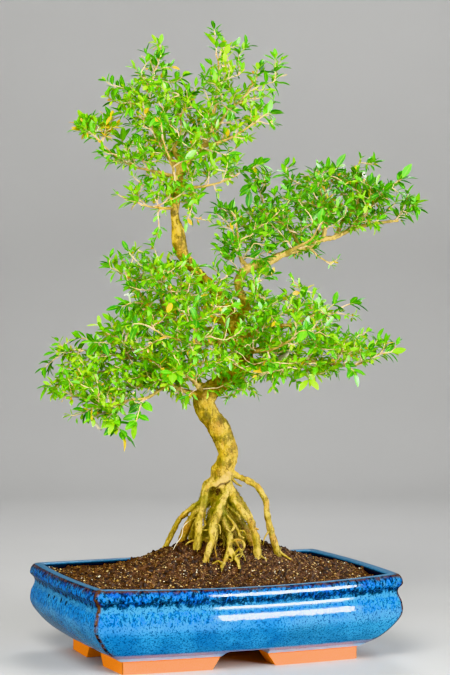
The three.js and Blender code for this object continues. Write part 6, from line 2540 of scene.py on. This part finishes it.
def nearest_stem(node: str, tree: TreeFrame, stems: dict[str, np.ndarray]) -> np.ndarray:
    """Finds the place on a stem that a flower's node stands on.

    Args:
        node: The flower's node.
        tree: The tree's frame.
        stems: The stem of each spray, in the tree's frame.

    Returns:
        The nearest place on any stem, in the part's frame.
    """
    low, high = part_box(node)
    middle = np.array((low + high) / 2)
    places = np.vstack([tree.place(stem[:, :3]) for stem in stems.values()])
    return places[int(np.argmin(np.linalg.norm(places - middle, axis=1)))]


@dataclass
class Studio:
    """A pale floor, soft lights and the camera."""

    pot_middle: Vector
    lens: float = 117.33
    sensor: float = 36.0
    place: Point = (-800.0, -2067.6, 389.0)
    heading: Span = (0.366, 0.931)
    pitch: float = math.radians(1.78)
    floor_reach: Span = (3.4, 1.5)
    floor_side: float = 4.0
    sweep: float = 0.9
    wall: float = 3.0
    air: Colour = (0.90, 0.91, 0.92)
    air_strength: float = 0.22
    greys: tuple[Colour, Colour] = ((0.48, 0.48, 0.475), (0.52, 0.52, 0.515))

    def camera(self) -> None:
        """Sets the camera at the photographed angle."""
        data = bpy.data.cameras.new("camera")
        data.lens = self.lens
        data.sensor_width = self.sensor
        data.sensor_fit = "AUTO"
        data.clip_end = 50.0
        camera = linked("camera", data)
        camera.location = Vector(self.place) * MM + Vector((self.pot_middle.x, self.pot_middle.y, 0))
        flat = Vector((*self.heading, 0)).normalized()
        aim = flat * math.cos(self.pitch) + Vector((0, 0, -math.sin(self.pitch)))
        camera.rotation_euler = aim.to_track_quat("-Z", "Y").to_euler()
        bpy.context.scene.camera = camera

    def area(self, name: str, place: Point, target: Point, size: Span, power: float,
             colour: Colour = (1, 1, 1), shine_only: bool = False) -> None:
        """Adds a soft light.

        Args:
            name: The light's name.
            place: Where it stands, in metres from the pot's middle.
            target: What it points at.
            size: Its width and height in metres.
            power: Its power in watts.
            colour: Its colour.
            shine_only: Whether it shows in reflections alone.
        """
        data = bpy.data.lights.new(name, "AREA")
        data.shape = "RECTANGLE"
        data.size, data.size_y = size
        data.energy = power
        data.color = colour
        light = linked(name, data)
        light.location = Vector(place) + Vector((self.pot_middle.x, self.pot_middle.y, 0))
        light.rotation_euler = (Vector(target) - Vector(place)).to_track_quat("-Z", "Y").to_euler()
        light.visible_diffuse = not shine_only

    def build(self) -> None:
        """Builds the studio."""
        bend = [(self.floor_reach[1] + self.sweep * math.sin(a), self.sweep * (1 - math.cos(a)))
                for a in np.linspace(0, math.pi / 2, 17)]
        rows = [(-self.floor_reach[0], 0.0), *bend, (bend[-1][0], self.wall)]
        away, right = np.array((*self.heading, 0.0)), np.array((self.heading[1], -self.heading[0], 0.0))
        corners = [away * far + right * aside + (0, 0, high)
                   for far, high in rows for aside in (-self.floor_side, self.floor_side)]
        faces = [(2 * i, 2 * i + 1, 2 * i + 3, 2 * i + 2) for i in range(len(rows) - 1)]
        floor = make_object("floor", np.array(corners), faces)
        paint = Paint("studio_floor", roughness=0.7, specular=0.3)
        floor.data.materials.append(paint.finish(paint.lay(*self.greys, paint.grain(3.0, 2.0))))
        floor.visible_glossy = False
        floor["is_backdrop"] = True
        world = bpy.data.worlds.new("studio")
        bpy.context.scene.world = world
        world.use_nodes = True
        background = world.node_tree.nodes["Background"].inputs
        background[0].default_value, background[1].default_value = (*self.air, 1.0), self.air_strength
        self.area("key", (-1.0, -1.5, 1.5), (0, 0, 0.35), (1.0, 1.0), 52.0, (1.0, 0.98, 0.94))
        self.area("left", (-1.6, -0.35, 0.4), (0, 0, 0.12), (0.5, 0.5), 14.0)
        self.area("strip", (0.87, -1.7, 0.38), (0, 0, 0.07), (1.06, 0.42), 430.0, shine_only=True)
        self.area("fill", (0.87, -1.7, 0.6), (0, 0, 0.2), (1.06, 0.6), 36.0)
        self.area("back", (0.6, 1.3, 1.5), (0, 0, 0.4), (0.8, 0.8), 16.0)
        bpy.context.scene.view_settings.view_transform = "Khronos PBR Neutral"
        self.camera()


def write_sizes(before: tuple[Vector, Vector]) -> None:
    """Works out the model's box and the dressed object's box, in metres, but writes them nowhere.

    Args:
        before: The model's lowest and highest corners.
    """
    boxes = {"cad": before, "visual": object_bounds()}
    {name: [list(corner) for corner in box] for name, box in boxes.items()}


def main() -> None:
    """Builds the bonsai, its finishes and the studio."""
    logging.basicConfig(level=logging.INFO, format="%(name)s: %(message)s")
    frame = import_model()
    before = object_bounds()
    low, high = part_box("pot")
    middle = (low + high) / 2
    pot = Pot(middle)
    tree = TreeFrame(middle)
    pot.build()
    soil = Soil(pot)
    soil.build()
    Wood(tree, soil).build()
    foliage = Foliage(tree)
    foliage.build()
    petals = PetalFinish().material()
    for node in sorted(name for name in frame["nodes"] if name.startswith("flower_")):
        Flower(node, nearest_stem(node, tree, foliage.stems)).build(petals)
    plastic = PlasticFinish().material()
    for name in ("drain_screen_left", "drain_screen_right"):
        screen = frame["nodes"][name]
        paint_over(screen, plastic)
    Studio(middle).build()
    write_sizes(before)


if __name__ == "__main__":
    main()
